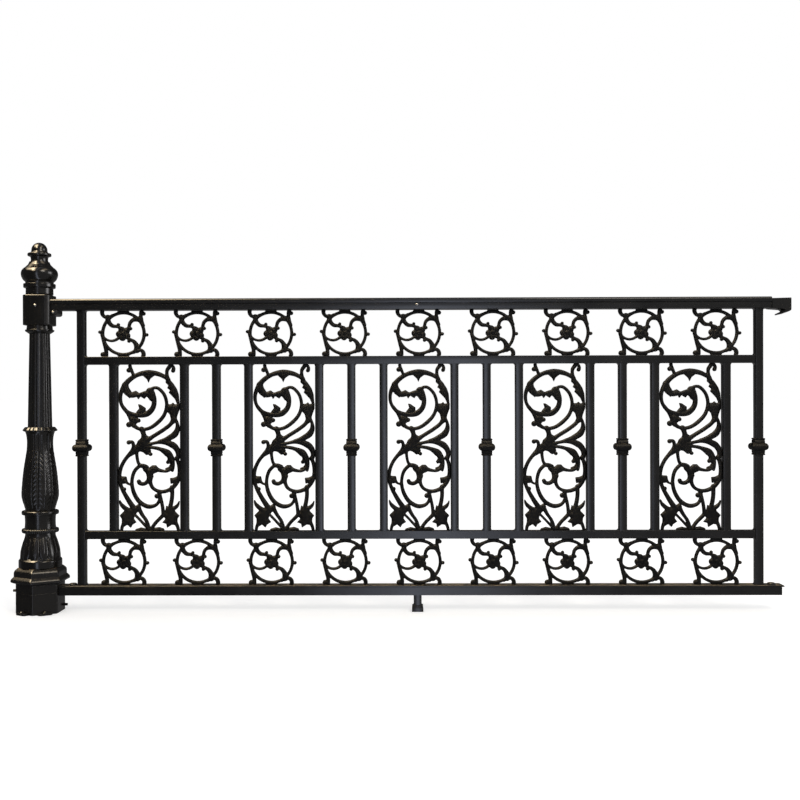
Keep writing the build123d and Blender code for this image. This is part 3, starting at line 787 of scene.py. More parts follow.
@dataclass
class Rails:
    """Top and bottom rails with their end fittings, and the two sub-rails."""

    finishes: Finishes
    plug_radius: float = 12.0

    def along(
        self, node: str, section: Array | None = None, rounding: float = 2.4, bevel: float = 0.8,
        finish: bpy.types.Material | None = None,
    ) -> None:
        """Replace a straight rail by its section carried along the fence.

        Args:
            node: node that it stands for.
            section: outline about the middle of its box, or none for a plain one.
            rounding: corner radius of the plain section.
            bevel: inset of its end faces.
            finish: its paint, or none for the bars' own.
        """
        span = node_span(node)
        if section is None:
            section = box_section(span.half[1], span.half[2], rounding)
        shell = Shell()
        shell.prism(section, bevelled(span.low[0], span.high[0], bevel), Axis.ALONG, (span.middle[1], span.middle[2]))
        shell.build(f"dressed_{node}", Slot.BAR, finish or self.finishes.bar, (node,))

    def deep(self, node: str, outline: list[Triple], name: str) -> None:
        """Replace a fitting by its side outline carried from front to back.

        Args:
            node: node that it stands for.
            outline: (x, z, rounding) corners about the middle of its box.
            name: name of the piece.
        """
        span = node_span(node)
        shell = Shell()
        shell.prism(
            rounded(outline, steps=5), bevelled(span.low[1], span.high[1], 0.8), Axis.DEEP,
            (span.middle[0], span.middle[2]),
        )
        shell.build(name, Slot.BAR, self.finishes.bar, (node,))

    def build(self) -> None:
        """Build the rails and their fittings."""
        _, across, up = node_span("top_rail_body").half
        body = [(-across, -up, 2.4), (across, -up, 2.4), (across, up, 0.5), (-across, up, 0.5)]
        self.along("top_rail_body", rounded(body, steps=4))
        _, across, up = node_span("top_rail_cap").half
        cap = [
            (4 - across, -up, 0.3), (across - 4, -up, 0.3), (across, 3.4 - up, 0.8), (across, up, 9),
            (-across, up, 9), (-across, 3.4 - up, 0.8),
        ]
        self.along("top_rail_cap", rounded(cap, steps=8))
        # The bottom rail, cover and plugs take the bottom paint, whose brownish top faces are dust and a painted warm
        # reflection.
        self.along("bottom_rail", rounding=1.0, finish=self.finishes.walked)
        self.along("bottom_rail_cover", rounding=0.7, bevel=0.6, finish=self.finishes.walked)
        self.along("lower_sub_rail", rounding=0.8)
        self.along("upper_sub_rail", rounding=0.8)
        right, _, top = node_span("top_rail_end_bracket").half
        bottom = 16 - top
        self.deep(
            "top_rail_end_bracket",
            [
                (-right, top - 2.5, 1), (right, top - 1, 2), (right, bottom - 2, 3), (right - 6, bottom - 6, 2),
                (right - 33, bottom - 15.6, 0.8), (right - 34, bottom - 12.6, 0.8), (right - 16, bottom - 4, 2),
                (right - 22, bottom + 1, 2), (-right, bottom + 4, 0.5),
            ],
            "dressed_end_bracket",
        )
        right, _, top = node_span("post_rail_cradle").half
        self.deep(
            "post_rail_cradle", [(-right, top, 0.5), (right, top, 1), (right, -top, 13), (-right, -top, 0.5)],
            "dressed_rail_cradle",
        )
        self.plugs()

    def plugs(self) -> None:
        """Round plugs that close the cover strip's ends."""
        span, radius = node_span("bottom_rail_plugs"), self.plug_radius
        profile = closed_profile([(radius, -1, 0), (radius, span.high[2] - span.low[2], 3.5)])
        shell = Shell()
        for centre in (span.low[0] + radius, span.high[0] - radius):
            shell.lathe(profile, 40, None, (centre, 0, span.low[2]))
        shell.build("dressed_rail_plugs", Slot.BAR, self.finishes.walked, ("bottom_rail_plugs",))


@dataclass
class Uprights:
    """Square tube uprights, stiles and pickets, their weld coves and knuckle collars."""

    finishes: Finishes
    bays: int = 5
    half_tube: float = 12.7
    rounding: float = 2.6
    cove: float = 6.5
    cove_depth: float = 11.0
    cove_sink: float = 0.6
    sleeve: float = 16.4
    ring: float = 25.3
    ring_reach: float = 11.5

    def bar(self, node: str) -> float:
        """Replace an upright tube.

        Args:
            node: node that it stands for.

        Returns:
            Where its middle lies along the fence.
        """
        span = node_span(node)
        section = box_section(span.half[0], span.half[1], self.rounding)
        shell = Shell()
        shell.prism(section, [(span.low[2], 0), (span.high[2], 0)], Axis.UP, (span.middle[0], span.middle[1]))
        shell.build(f"dressed_{node}", Slot.BAR, self.finishes.bar, (node,))
        return float(span.middle[0])

    def coves(self, joints: list[tuple[float, float, int, int]]) -> None:
        """Fill the corners where tubes meet with weld coves.

        A cove's section is the corner, then (c - c sin t, c - c cos t) for t from 0 to 90 degrees.

        Args:
            joints: corner x, corner z, direction along x and direction along z of each.
        """
        t = np.linspace(0, pi / 2, 7)
        arc = np.stack([self.cove * (1 - np.sin(t)), self.cove * (1 - np.cos(t))], axis=1)
        sink = -self.cove_sink
        section = np.concatenate([[[sink, sink], [self.cove, sink]], arc, [[sink, self.cove]]])
        levels = [(-self.cove_depth, 0), (self.cove_depth, 0)]
        shell = Shell()
        for x, z, way_x, way_z in joints:
            shell.prism(section * [way_x, way_z], levels, Axis.DEEP, (x, z))
        shell.build("weld_coves", Slot.BAR, self.finishes.bar, sharp=50)

    def collars(self, places: list[float]) -> None:
        """Replace the knuckle collars: a square sleeve with a mitred half-round ring at its middle.

        Args:
            places: middles of the tubes that carry one.
        """
        span = node_span("knuckle_collars")
        half, swell = span.half[2], np.linspace(-pi / 2, pi / 2, 17)
        width = self.sleeve + (self.ring - self.sleeve) * np.cos(swell)
        bulge = np.stack([self.ring_reach * np.sin(swell), width], axis=1)
        foot = np.array([
            (-half, self.sleeve - 1.2), (-half + 0.8, self.sleeve + 0.4), (-half + 4.4, self.sleeve + 0.4),
            (-half + 5.4, self.sleeve - 1), (-half + 6.6, self.sleeve - 1), (-half + 7.6, self.sleeve),
        ])
        outline = np.concatenate([foot, bulge, foot[::-1] * [-1, 1]])
        levels = [(span.middle[2] + z, self.ring - width) for z, width in outline]
        shell = Shell()
        for place in places:
            shell.prism(box_section(self.ring, self.ring, 2.4, 5), levels, Axis.UP, (place, 0))
        shell.build("dressed_collars", Slot.CASTING, self.finishes.casting, ("knuckle_collars",), 50)

    def build(self) -> None:
        """Build the tubes, then their coves and collars."""
        ends = [self.bar("left_end_upright"), self.bar("right_end_upright")]
        inner = [self.bar(f"stile_{bay}_{side}") for bay in range(1, self.bays + 1) for side in ("left", "right")]
        pickets = [self.bar(f"picket_{index}") for index in range(1, self.bays)]
        half, lower, upper = self.half_tube, node_span("lower_sub_rail"), node_span("upper_sub_rail")
        bottom, top = node_span("bottom_rail_cover").high[2], node_span("top_rail_body").low[2]
        between = ((lower.high[2], 1), (upper.low[2], -1))
        beside = ((lower.low[2], -1), (lower.high[2], 1), (upper.low[2], -1), (upper.high[2], 1))
        joints = [(x + side * half, z, side, way) for x in inner + pickets for side in (-1, 1) for z, way in between]
        for x, side in ((ends[0], 1), (ends[1], -1)):
            joints += [(x + side * half, z, side, way) for z, way in beside]
            joints += [(x + way * half, z, way, up) for way in (-1, 1) for z, up in ((bottom, 1), (top, -1))]
        self.coves(joints)
        self.collars([ends[0], *pickets, ends[1]])


@dataclass(frozen=True)
class Bar:
    """Stroke of a casting: a path with a width at even steps along it."""

    path: tuple[tuple[float, float], ...]
    widths: tuple[float, ...]
    rise: float = 3.4


@dataclass(frozen=True)
class Leaf:
    """Leaf of a casting, given by its lobed outline."""

    outline: tuple[tuple[float, float], ...]
    rise: float = 3.6


@dataclass(frozen=True)
class Boss:
    """Round boss of a casting."""

    x: float
    z: float
    radius: float
    rise: float = 3.8


def run_distance(place: Array, start: Array, run: Array) -> tuple[Array, Array]:
    """Distance of places from straight runs.

    Args:
        place: grid of (rows, columns, 2) places.
        start: start of each run.
        run: step from its start to its end.

    Returns:
        Distance of every place from every run, and the share of the run at its nearest point.
    """
    offset = place[..., None, :] - start
    share = np.clip((offset * run).sum(axis=-1) / (run * run).sum(axis=-1), 0, 1)
    return np.linalg.norm(offset - share[..., None] * run, axis=-1), share


class ReliefField:
    """Height field of a flat casting.

    At every point of a grid it holds how far inside the outline the point lies and how far the
    surface stands from the casting's middle plane. Strokes are joined with a smooth maximum.
    """

    def __init__(
        self, half_width: float, bottom: float, top: float, step: float, edge: float, fullness: float = 1.0
    ) -> None:
        """Lay the grid over an opening.

        Args:
            half_width: half of the opening's width.
            bottom: lowest height.
            top: highest height.
            step: spacing of the grid.
            edge: half thickness at the outline.
            fullness: factor on the width of every stroke.
        """
        self.x = np.linspace(-half_width, half_width, int(round(2 * half_width / step)) + 1)
        self.z = np.linspace(bottom, top, int(round((top - bottom) / step)) + 1)
        self.solid = np.full((len(self.x), len(self.z)), -40.0)
        self.height = np.full(self.solid.shape, edge)
        self.edge = edge
        self.fullness = fullness

    def merge(self, window: tuple[slice, slice], solid: Array, height: Array, blend: float = 2.4) -> None:
        """Join a form to the field inside a window.

        Args:
            window: rows and columns that it covers.
            solid: distance inside the form.
            height: half thickness over the form.
            blend: size of the fillet where forms meet.
        """
        self.solid[window] = smooth_max(self.solid[window], solid, blend)
        raised = np.where(solid > 0, height, self.edge)
        self.height[window] = smooth_max(self.height[window], raised, 0.8)

    def window(self, low: Array, high: Array) -> tuple[tuple[slice, slice], Array]:
        """Part of the grid between two corners.

        Args:
            low: its lowest corner.
            high: its highest corner.

        Returns:
            Its rows and columns, and the places in it.
        """
        first, last = np.searchsorted(self.x, [low[0], high[0]])
        start, stop = np.searchsorted(self.z, [low[1], high[1]])
        cut = (slice(first, last), slice(start, stop))
        return cut, np.stack(np.meshgrid(self.x[cut[0]], self.z[cut[1]], indexing="ij"), axis=-1)

    def stroke(self, bar: Bar, stretch: Array) -> None:
        """Add a stroke.

        Inside it is width - distance, and it rises as rise * sqrt(1 - (distance / width)^2).

        Args:
            bar: the stroke.
            stretch: factors along and up.
        """
        path = spline(np.array(bar.path) * stretch, 10)
        share = np.linspace(0, 1, len(path))
        half = self.fullness * np.interp(share, np.linspace(0, 1, len(bar.widths)), bar.widths) / 2
        margin = half.max() + 5
        cut, place = self.window(path.min(axis=0) - margin, path.max(axis=0) + margin)
        away, t = run_distance(place, path[:-1], np.diff(path, axis=0))
        width = half[:-1] + (half[1:] - half[:-1]) * t
        nearest = (width - away).argmax(axis=-1)[..., None]
        width = np.take_along_axis(width, nearest, -1)[..., 0]
        away = np.take_along_axis(away, nearest, -1)[..., 0]
        dome = np.sqrt(np.maximum(1 - (away / width) ** 2, 0))
        self.merge(cut, width - away, self.edge + bar.rise * dome)

    def leaf(self, leaf: Leaf, stretch: Array) -> None:
        """Add a leaf.

        Its height rises from the outline as rise * tanh(0.5 distance / rise), so each lobe has a
        ridge. A place lies inside where a line from it along the fence crosses the outline an odd
        number of times.

        Args:
            leaf: the leaf.
            stretch: factors along and up.
        """
        outline = np.array(leaf.outline) * stretch
        cut, place = self.window(outline.min(axis=0) - 5, outline.max(axis=0) + 5)
        run = np.roll(outline, -1, axis=0) - outline
        away = run_distance(place, outline, run)[0].min(axis=-1)
        x, z = place[..., None, 0], place[..., None, 1]
        spans = (outline[:, 1] > z) != ((outline + run)[:, 1] > z)
        with np.errstate(divide="ignore", invalid="ignore"):
            crossing = outline[:, 0] + (z - outline[:, 1]) * run[:, 0] / run[:, 1]
        inside = (spans & (x < crossing)).sum(axis=-1) % 2 == 1
        solid = np.where(inside, away, -away)
        self.merge(cut, solid, self.edge + leaf.rise * np.tanh(0.5 * np.maximum(solid, 0) / leaf.rise), 1.6)

    def boss(self, boss: Boss, stretch: Array) -> None:
        """Add a boss: a dome of rise * sqrt(1 - (distance / radius)^2).

        Args:
            boss: the boss.
            stretch: factors along and up.
        """
        centre = np.array([boss.x, boss.z]) * stretch
        cut, place = self.window(centre - boss.radius - 4, centre + boss.radius + 4)
        away = np.linalg.norm(place - centre, axis=-1)
        dome = np.sqrt(np.maximum(1 - (away / boss.radius) ** 2, 0))
        self.merge(cut, boss.radius - away, self.edge + boss.rise * dome)

    def draw(self, forms: list[Bar | Leaf | Boss], along: float = 1.0, up: float = 1.0) -> None:
        """Add every form of a drawing.

        Args:
            forms: the drawing.
            along: factor that stretches it along the fence.
            up: factor that stretches it upward.
        """
        adders = {Bar: self.stroke, Leaf: self.leaf, Boss: self.boss}
        for form in forms:
            adders[type(form)](form, np.array([along, up]))

    def surface(self) -> tuple[Array, list[Array]]:
        """Cut the grid along the outline and close it.

        Each cell keeps its inside corners and the crossings of its edges. The same faces are made
        in front and behind, with a wall of quads along the crossings.

        Returns:
            Points about the casting's middle plane and arrays of faces.
        """
        solid = self.solid.copy()
        solid[[0, -1], :] = np.minimum(solid[[0, -1], :], -1.0)
        solid[:, [0, -1]] = np.minimum(solid[:, [0, -1]], -1.0)
        rows, columns = solid.shape
        inside = solid > 0
        grid_x, grid_z = np.meshgrid(self.x, self.z, indexing="ij")
        with np.errstate(divide="ignore", invalid="ignore"):
            share_x = np.clip(solid[:-1] / (solid[:-1] - solid[1:]), 0.08, 0.92)
            share_z = np.clip(solid[:, :-1] / (solid[:, :-1] - solid[:, 1:]), 0.08, 0.92)
        share_x, share_z = np.nan_to_num(share_x, nan=0.5), np.nan_to_num(share_z, nan=0.5)
        step_x, step_z = share_x * np.diff(grid_x, axis=0), share_z * np.diff(grid_z, axis=1)
        places = (
            (grid_x, self.height, grid_z),
            (grid_x[:-1] + step_x, np.full(share_x.shape, self.edge), grid_z[:-1]),
            (grid_x[:, :-1], np.full(share_z.shape, self.edge), grid_z[:, :-1] + step_z),
        )
        points = np.concatenate([np.stack(place, axis=-1).reshape(-1, 3) for place in places])
        nodes = np.arange(rows * columns).reshape(rows, columns)
        along = np.arange((rows - 1) * columns).reshape(rows - 1, columns) + nodes.size
        upward = np.arange(rows * (columns - 1)).reshape(rows, columns - 1) + nodes.size + along.size
        low, high = slice(None, -1), slice(1, None)
        corners = ((low, low), (high, low), (high, high), (low, high))
        ring = [nodes[corner] for corner in corners]
        ring = np.stack([*ring, along[:, :-1], upward[1:], along[:, 1:], upward[:-1]], axis=-1)
        held = np.stack([inside[corner] for corner in corners], axis=-1)
        mask = (held * [1, 2, 4, 8]).sum(axis=-1)
        faces, walls = [], []
        for case in range(1, 16):
            cells = ring[mask == case]
            if not len(cells):
                continue
            order = []
            for corner in range(4):
                if case >> corner & 1:
                    order.append(corner)
                if (case >> corner & 1) != (case >> (corner + 1) % 4 & 1):
                    order.append(4 + corner)
            faces.append(cells[:, order])
            walls += [cells[:, [a, b]] for a, b in zip(order, order[1:] + order[:1]) if a > 3 and b > 3]
        used = np.unique(np.concatenate([block.ravel() for block in faces]))
        number = np.zeros(len(points), int)
        number[used] = np.arange(len(used))
        reach = len(used)
        faces, walls = [number[block] for block in faces], [number[block] for block in walls]
        made = [*faces, *[block[:, ::-1] + reach for block in faces]]
        made += [np.stack([w[:, 1], w[:, 0], w[:, 0] + reach, w[:, 1] + reach], axis=1) for w in walls]
        return np.concatenate([points[used] * [1, -1, 1], points[used]]), made


# One scroll casting, in millimetres from the middle of its foot
SCROLL_FORMS: list[Bar | Leaf | Boss] = [
    Bar(
        ((62, 484), (32, 501), (-2, 506), (-38, 499), (-74, 472), (-92, 434), (-90, 408), (-74, 384), (-43, 371),
         (-6, 375), (12, 394), (16, 412), (12, 430), (3, 446)),
        (10, 13, 16, 12, 14, 10, 9, 10, 12, 16, 14, 13, 16, 22),
    ),
    Bar(((-61, 536), (-61, 526), (-56, 513), (-50, 498)), (10, 9, 8)),
    Boss(-65, 514, 7.5),
    Bar(((70, 536), (66, 526), (58, 514), (57, 502), (62, 484)), (13, 11, 9, 10)),
    Bar(((67, 532), (78, 524), (77, 512)), (9, 8, 11)),
    Leaf(((-24, 506), (-22, 499), (-15, 492), (-7, 485), (-2, 474), (4, 487), (20, 499), (20, 506))),
    Bar(((-77, 466), (-70, 445), (-59, 435), (-32, 436), (-2, 438), (10, 426)), (18, 20, 15, 9, 18, 20)),
    Leaf(((-74, 436), (-63, 424), (-56, 432), (-41, 433), (-35, 420), (-28, 430), (-15, 422), (-4, 436), (-12, 445),
          (-30, 440), (-43, 449), (-60, 442))),
    Leaf(((-36, 406), (-27, 404), (-11, 393), (-12, 376), (-36, 370), (-42, 380), (-32, 392))),
    Bar(
        ((3, 440), (9, 455), (22, 458), (44, 442), (56, 408), (48, 371), (29, 348), (-8, 326), (-32, 326), (-52, 341)),
        (10, 8, 9, 9, 9, 10, 11, 10, 9, 12),
    ),
    Boss(-65, 340, 9),
    Boss(-49, 354, 14),
    Boss(-35, 353, 7),
    Bar(((-82, 394), (-67, 372), (-58, 352), (-50, 335)), (9, 9, 10)),
    Leaf(((54, 490), (67, 484), (78, 471), (89, 454), (95, 436), (98, 400), (90, 404), (83, 421), (73, 432), (63, 442),
          (67, 450), (58, 457), (62, 465), (53, 474))),
    Leaf(((55, 405), (71, 406), (77, 411), (81, 405), (98, 407), (98, 390), (90, 368), (87, 352), (82, 344), (69, 338),
          (70, 355), (66, 372), (54, 385))),
    Bar(((78, 358), (69, 342), (51, 327), (12, 302), (-16, 283)), (13, 11, 11, 11, 16)),
    Bar(((84, 358), (90, 342), (90, 324), (82, 309), (66, 298), (34, 287)), (7, 9, 14, 18, 16, 9)),
    Bar(((-25, 326), (-18, 308), (-17, 294), (-24, 280)), (14, 13, 18, 26)),
    Boss(-66, 283, 7),
    Bar(((-64, 284), (-55, 284), (-51, 273), (-54, 260), (-62, 245)), (9, 9, 9, 12)),
    Bar(((-12, 292), (-24, 274), (-40, 262), (-58, 248)), (24, 28, 20, 14)),
    Bar(
        ((-52, 254), (-74, 233), (-91, 203), (-97, 168), (-91, 143), (-73, 107), (-50, 72)),
        (13, 10, 10, 12, 10, 12, 15),
    ),
    Leaf(((-96, 175), (-74, 174), (-70, 156), (-81, 150), (-96, 152))),
    Bar(((-77, 159), (-67, 150), (-55, 148)), (8, 6, 5)),
    Boss(-81, 133, 6),
    Bar(((-40, 256), (-39, 232), (-34, 215), (-24, 206)), (9, 8, 9)),
    Bar(((-14, 274), (13, 280), (38, 284), (62, 280), (82, 269), (92, 252), (92, 234)), (9, 9, 13, 18, 15, 11)),
    Bar(((-20, 268), (5, 267), (29, 263), (48, 255), (64, 243), (73, 226), (74, 192)), (10, 9, 11, 20, 14, 7)),
    Leaf(((52, 252), (59, 229), (53, 220), (57, 213), (68, 215), (62, 205), (50, 200), (54, 193), (72, 198), (80, 213),
          (79, 236), (66, 248))),
    Leaf(((-44, 262), (-3, 270), (6, 256), (1, 245), (-9, 242), (-20, 251), (-32, 255), (-42, 248))),
    Boss(4, 245, 6),
    Bar(
        ((-8, 204), (-26, 209), (-44, 196), (-56, 162), (-49, 119), (-28, 89), (0, 77), (24, 85), (33, 103), (32, 122)),
        (10, 10, 10, 9, 11, 12, 12, 9, 8, 9),
    ),
    Leaf(((-22, 201), (-11, 211), (-1, 202), (9, 210), (21, 210), (28, 202), (35, 196), (25, 187), (13, 182), (8, 172),
          (6, 150), (-8, 152), (-8, 172), (-11, 184), (-20, 193))),
    Bar(((0, 172), (-5, 159), (-19, 150), (-32, 153)), (13, 11, 11)),
    Boss(-34, 158, 6.5),
    Bar(
        ((6, 174), (3, 156), (10, 138), (38, 125), (72, 136), (94, 168), (96, 204), (87, 233)),
        (12, 10, 9, 11, 12, 11, 10),
    ),
    Bar(((92, 250), (92, 240), (88, 228)), (11, 10)),
    Bar(((18, 199), (38, 192), (56, 191), (71, 200)), (12, 8, 9)),
    Leaf(((66, 169), (78, 170), (96, 178), (93, 154), (68, 150))),
    Bar(((72, 140), (73, 117), (71, 97), (62, 64)), (11, 11, 12)),
    Boss(24, 111, 8),
    Bar(((30, 124), (36, 104), (42, 74), (44, 50)), (9, 9, 10)),
    Bar(((46, 52), (33, 39), (21, 27), (2, -3)), (11, 10, 10)),
    Leaf(((-96, 49), (-89, 38), (-89, 19), (-81, 13), (-71, 19), (-60, 9), (-55, 19), (-42, 27), (-50, 38), (-48, 50),
          (-36, 62), (-27, 76), (-36, 86), (-50, 76), (-73, 72), (-88, 57))),
    Bar(((-72, 68), (-83, 76), (-91, 85), (-95, 96)), (13, 11, 4)),
    Bar(((-82, 25), (-88, 12), (-90, -3)), (10, 8)),
    Bar(((-36, 76), (-24, 52), (-11, 33), (-2, -3)), (12, 9, 11)),
    Bar(((-49, 53), (-34, 38), (-20, 23), (-5, 7)), (7, 7, 8)),
    Leaf(((54, 81), (63, 74), (77, 74), (83, 61), (96, 48), (90, 39), (89, 25), (82, 18), (72, 19), (56, 9), (54, 22),
          (40, 26), (51, 38), (44, 48), (50, 62))),
    Bar(((74, 70), (88, 79), (95, 94)), (13, 10, 3)),
    Bar(((83, 27), (90, 12), (93, -3)), (10, 8)),
    Leaf(((-49, -3), (-44, 6), (-28, 11), (-11, 7), (-3, -3))),
    Leaf(((5, -3), (13, 9), (31, 12), (46, 7), (50, -3))),
]

# One rosette without its ring and flower, in millimetres from its middle
ROSETTE_FORMS: list[Bar | Leaf | Boss] = [
    Bar(((-50, 53), (-46, 36), (-35, 25), (-22, 23), (-6, 17)), (14, 12, 11, 9, 8)),
    Boss(-16, 29, 5),
    Bar(((53, 46), (43, 46), (32, 44), (22, 35), (18, 22), (14, 10)), (17, 13, 10, 9, 8)),
    Boss(23, 16, 5.5),
    Bar(((43, -53), (41, -36), (33, -25), (22, -19), (10, -13)), (17, 12, 9, 8)),
    Boss(18, -24, 5.5),
    Bar(((-69, -4), (-56, -18), (-40, -23), (-10, -9)), (8, 7, 8)),
    Bar(((-67, 76), (-67, 62), (-60, 54), (-48, 53), (-36, 58)), (12, 10, 9, 8)),
    Bar(((60, 76), (56, 62), (58, 48), (65, 26)), (11, 9, 7)),
    Bar(((-68, -4), (-61, -34), (-56, -52), (-56, -76)), (8, 10, 11)),
    Bar(((33, -60), (46, -54), (58, -54), (64, -62), (62, -76)), (9, 9, 11, 12)),
    Boss(65, 64, 6.5),
    Boss(-65, -67, 8.5),
    Boss(-75, 5, 5.5),
    Boss(75, -4, 5.5),
]


@dataclass
class Castings:
    """Scroll castings in the bays and rows of rosettes in the upper and lower bands.

    The scrolls are drawn for an opening of 201 by 532 and the rosettes for a band of 148.
    """

    finishes: Finishes
    bays: int = 5
    rosettes: int = 9
    row_margin: float = 3.0
    step: float = 2.1
    edge: float = 2.5
    fullness: float = 1.15
    drawn_width: float = 201.0
    drawn_height: float = 532.0
    drawn_band: float = 148.0
    ring_bar: float = 10.0
    ring_gap: float = 2.5
    petal_ring: float = 13.5
    petal_radius: float = 10.5
    petals: int = 5
    petal_turn: float = 42.0
    rise: float = 3.4
    highest: float = 6.9

    def scrolls(self) -> None:
        """Replace the scroll castings, one piece for each bay."""
        panels = node_span("scroll_panels")
        opening = node_span("stile_1_right").low[0] - node_span("stile_1_left").high[0]
        tall = panels.high[2] - panels.low[2]
        relief = ReliefField(opening / 2 + 0.4, -0.4, tall + 0.4, self.step, self.edge, self.fullness)
        relief.draw(SCROLL_FORMS, opening / self.drawn_width, tall / self.drawn_height)
        points, faces = relief.surface()
        for bay in range(1, self.bays + 1):
            left, right = node_span(f"stile_{bay}_left").high[0], node_span(f"stile_{bay}_right").low[0]
            shell = Shell()
            shell.add(points + [(left + right) / 2, 0, panels.low[2]], *faces)
            shell.build(f"scroll_casting_{bay}", Slot.CASTING, self.finishes.casting, ("scroll_panels",), 65)

    def rosette(self, band: float) -> tuple[Array, list[Array]]:
        """Surface of one rosette: a ring, the drawn forms, a flower and two feet.

        Args:
            band: height of the band that it fills.

        Returns:
            Points about the rosette's middle and arrays of faces.
        """
        half_band, half = band / 2, self.ring_bar / 2
        low, high = -half_band - 0.2, half_band + 0.2
        relief = ReliefField(half_band + 8, low, high, self.step * 0.9, self.edge, self.fullness)
        whole = (slice(None), slice(None))
        place = np.stack(np.meshgrid(relief.x, relief.z, indexing="ij"), axis=-1)
        off_ring = np.abs(np.linalg.norm(place, axis=-1) - (half_band - self.ring_gap) + half)
        dome = np.sqrt(np.maximum(1 - (off_ring / half) ** 2, 0))
        relief.merge(whole, half - off_ring, self.edge + self.rise * dome)
        relief.draw(ROSETTE_FORMS, band / self.drawn_band, band / self.drawn_band)
        turns = [radians(self.petal_turn + 360 / self.petals * index) for index in range(self.petals)]
        ring = self.petal_ring
        relief.draw([Boss(ring * cos(turn), ring * sin(turn), self.petal_radius, self.rise) for turn in turns])
        relief.draw([Boss(0, 0, 7.5, 6.0)])
        for side in (-1, 1):
            foot = 3 - np.maximum(np.abs(place[..., 1] - side * (half_band - 3)), np.abs(place[..., 0]) - 15)
            relief.merge(whole, foot, np.full(foot.shape, self.edge + 2.6))
        relief.height = np.minimum(relief.height, self.highest)
        return relief.surface()

    def rows(self) -> None:
        """Replace both rows of rosettes."""
        left = node_span("left_end_upright").high[0] + self.row_margin
        pitch = (node_span("right_end_upright").low[0] - left - self.row_margin) / self.rosettes
        for node in ("rosettes_lower", "rosettes_upper"):
            span = node_span(node)
            points, faces = self.rosette(span.high[2] - span.low[2])
            shell = Shell()
            for index in range(self.rosettes):
                shell.add(points + [left + pitch * (index + 0.5), 0, span.middle[2]], *faces)
            shell.build(f"dressed_{node}", Slot.CASTING, self.finishes.casting, (node,), 65)

    def build(self) -> None:
        """Build the scrolls and the rosettes."""
        self.scrolls()
        self.rows()


@dataclass
class Foot:
    """Stem and shoe under the middle of the bottom rail."""

    finishes: Finishes
    half_tube: float = 12.7
    half_neck: float = 17.0

    def build(self) -> None:
        """Build the stem, then the shoe, which has a line cut round it and narrows to its top."""
        stem, shoe = node_span("foot_stem"), node_span("foot_shoe")
        shell = Shell()
        section = box_section(self.half_tube, self.half_tube, 2.0)
        shell.prism(section, [(stem.low[2], 0), (stem.high[2], 0)], Axis.UP, (stem.middle[0], stem.middle[1]))
        shell.build("dressed_foot_stem", Slot.BAR, self.finishes.bar, ("foot_stem",))
        half, tall = shoe.half[0], shoe.high[2]
        narrow = half - self.half_neck
        levels = [
            (0, 0.5), (0.5, 0), (2.8, 0), (3.2, 1.1), (4.3, 1.1), (4.7, 0), (7, 0), (tall - 1.2, narrow),
            (tall - 0.3, narrow + 0.4), (tall, narrow + 1.1),
        ]
        shell = Shell()
        shell.prism(box_section(half, half, 2.5), levels, Axis.UP, (shoe.middle[0], 0))
        shell.build("dressed_foot_shoe", Slot.BAR, self.finishes.bar, ("foot_shoe",), 30)


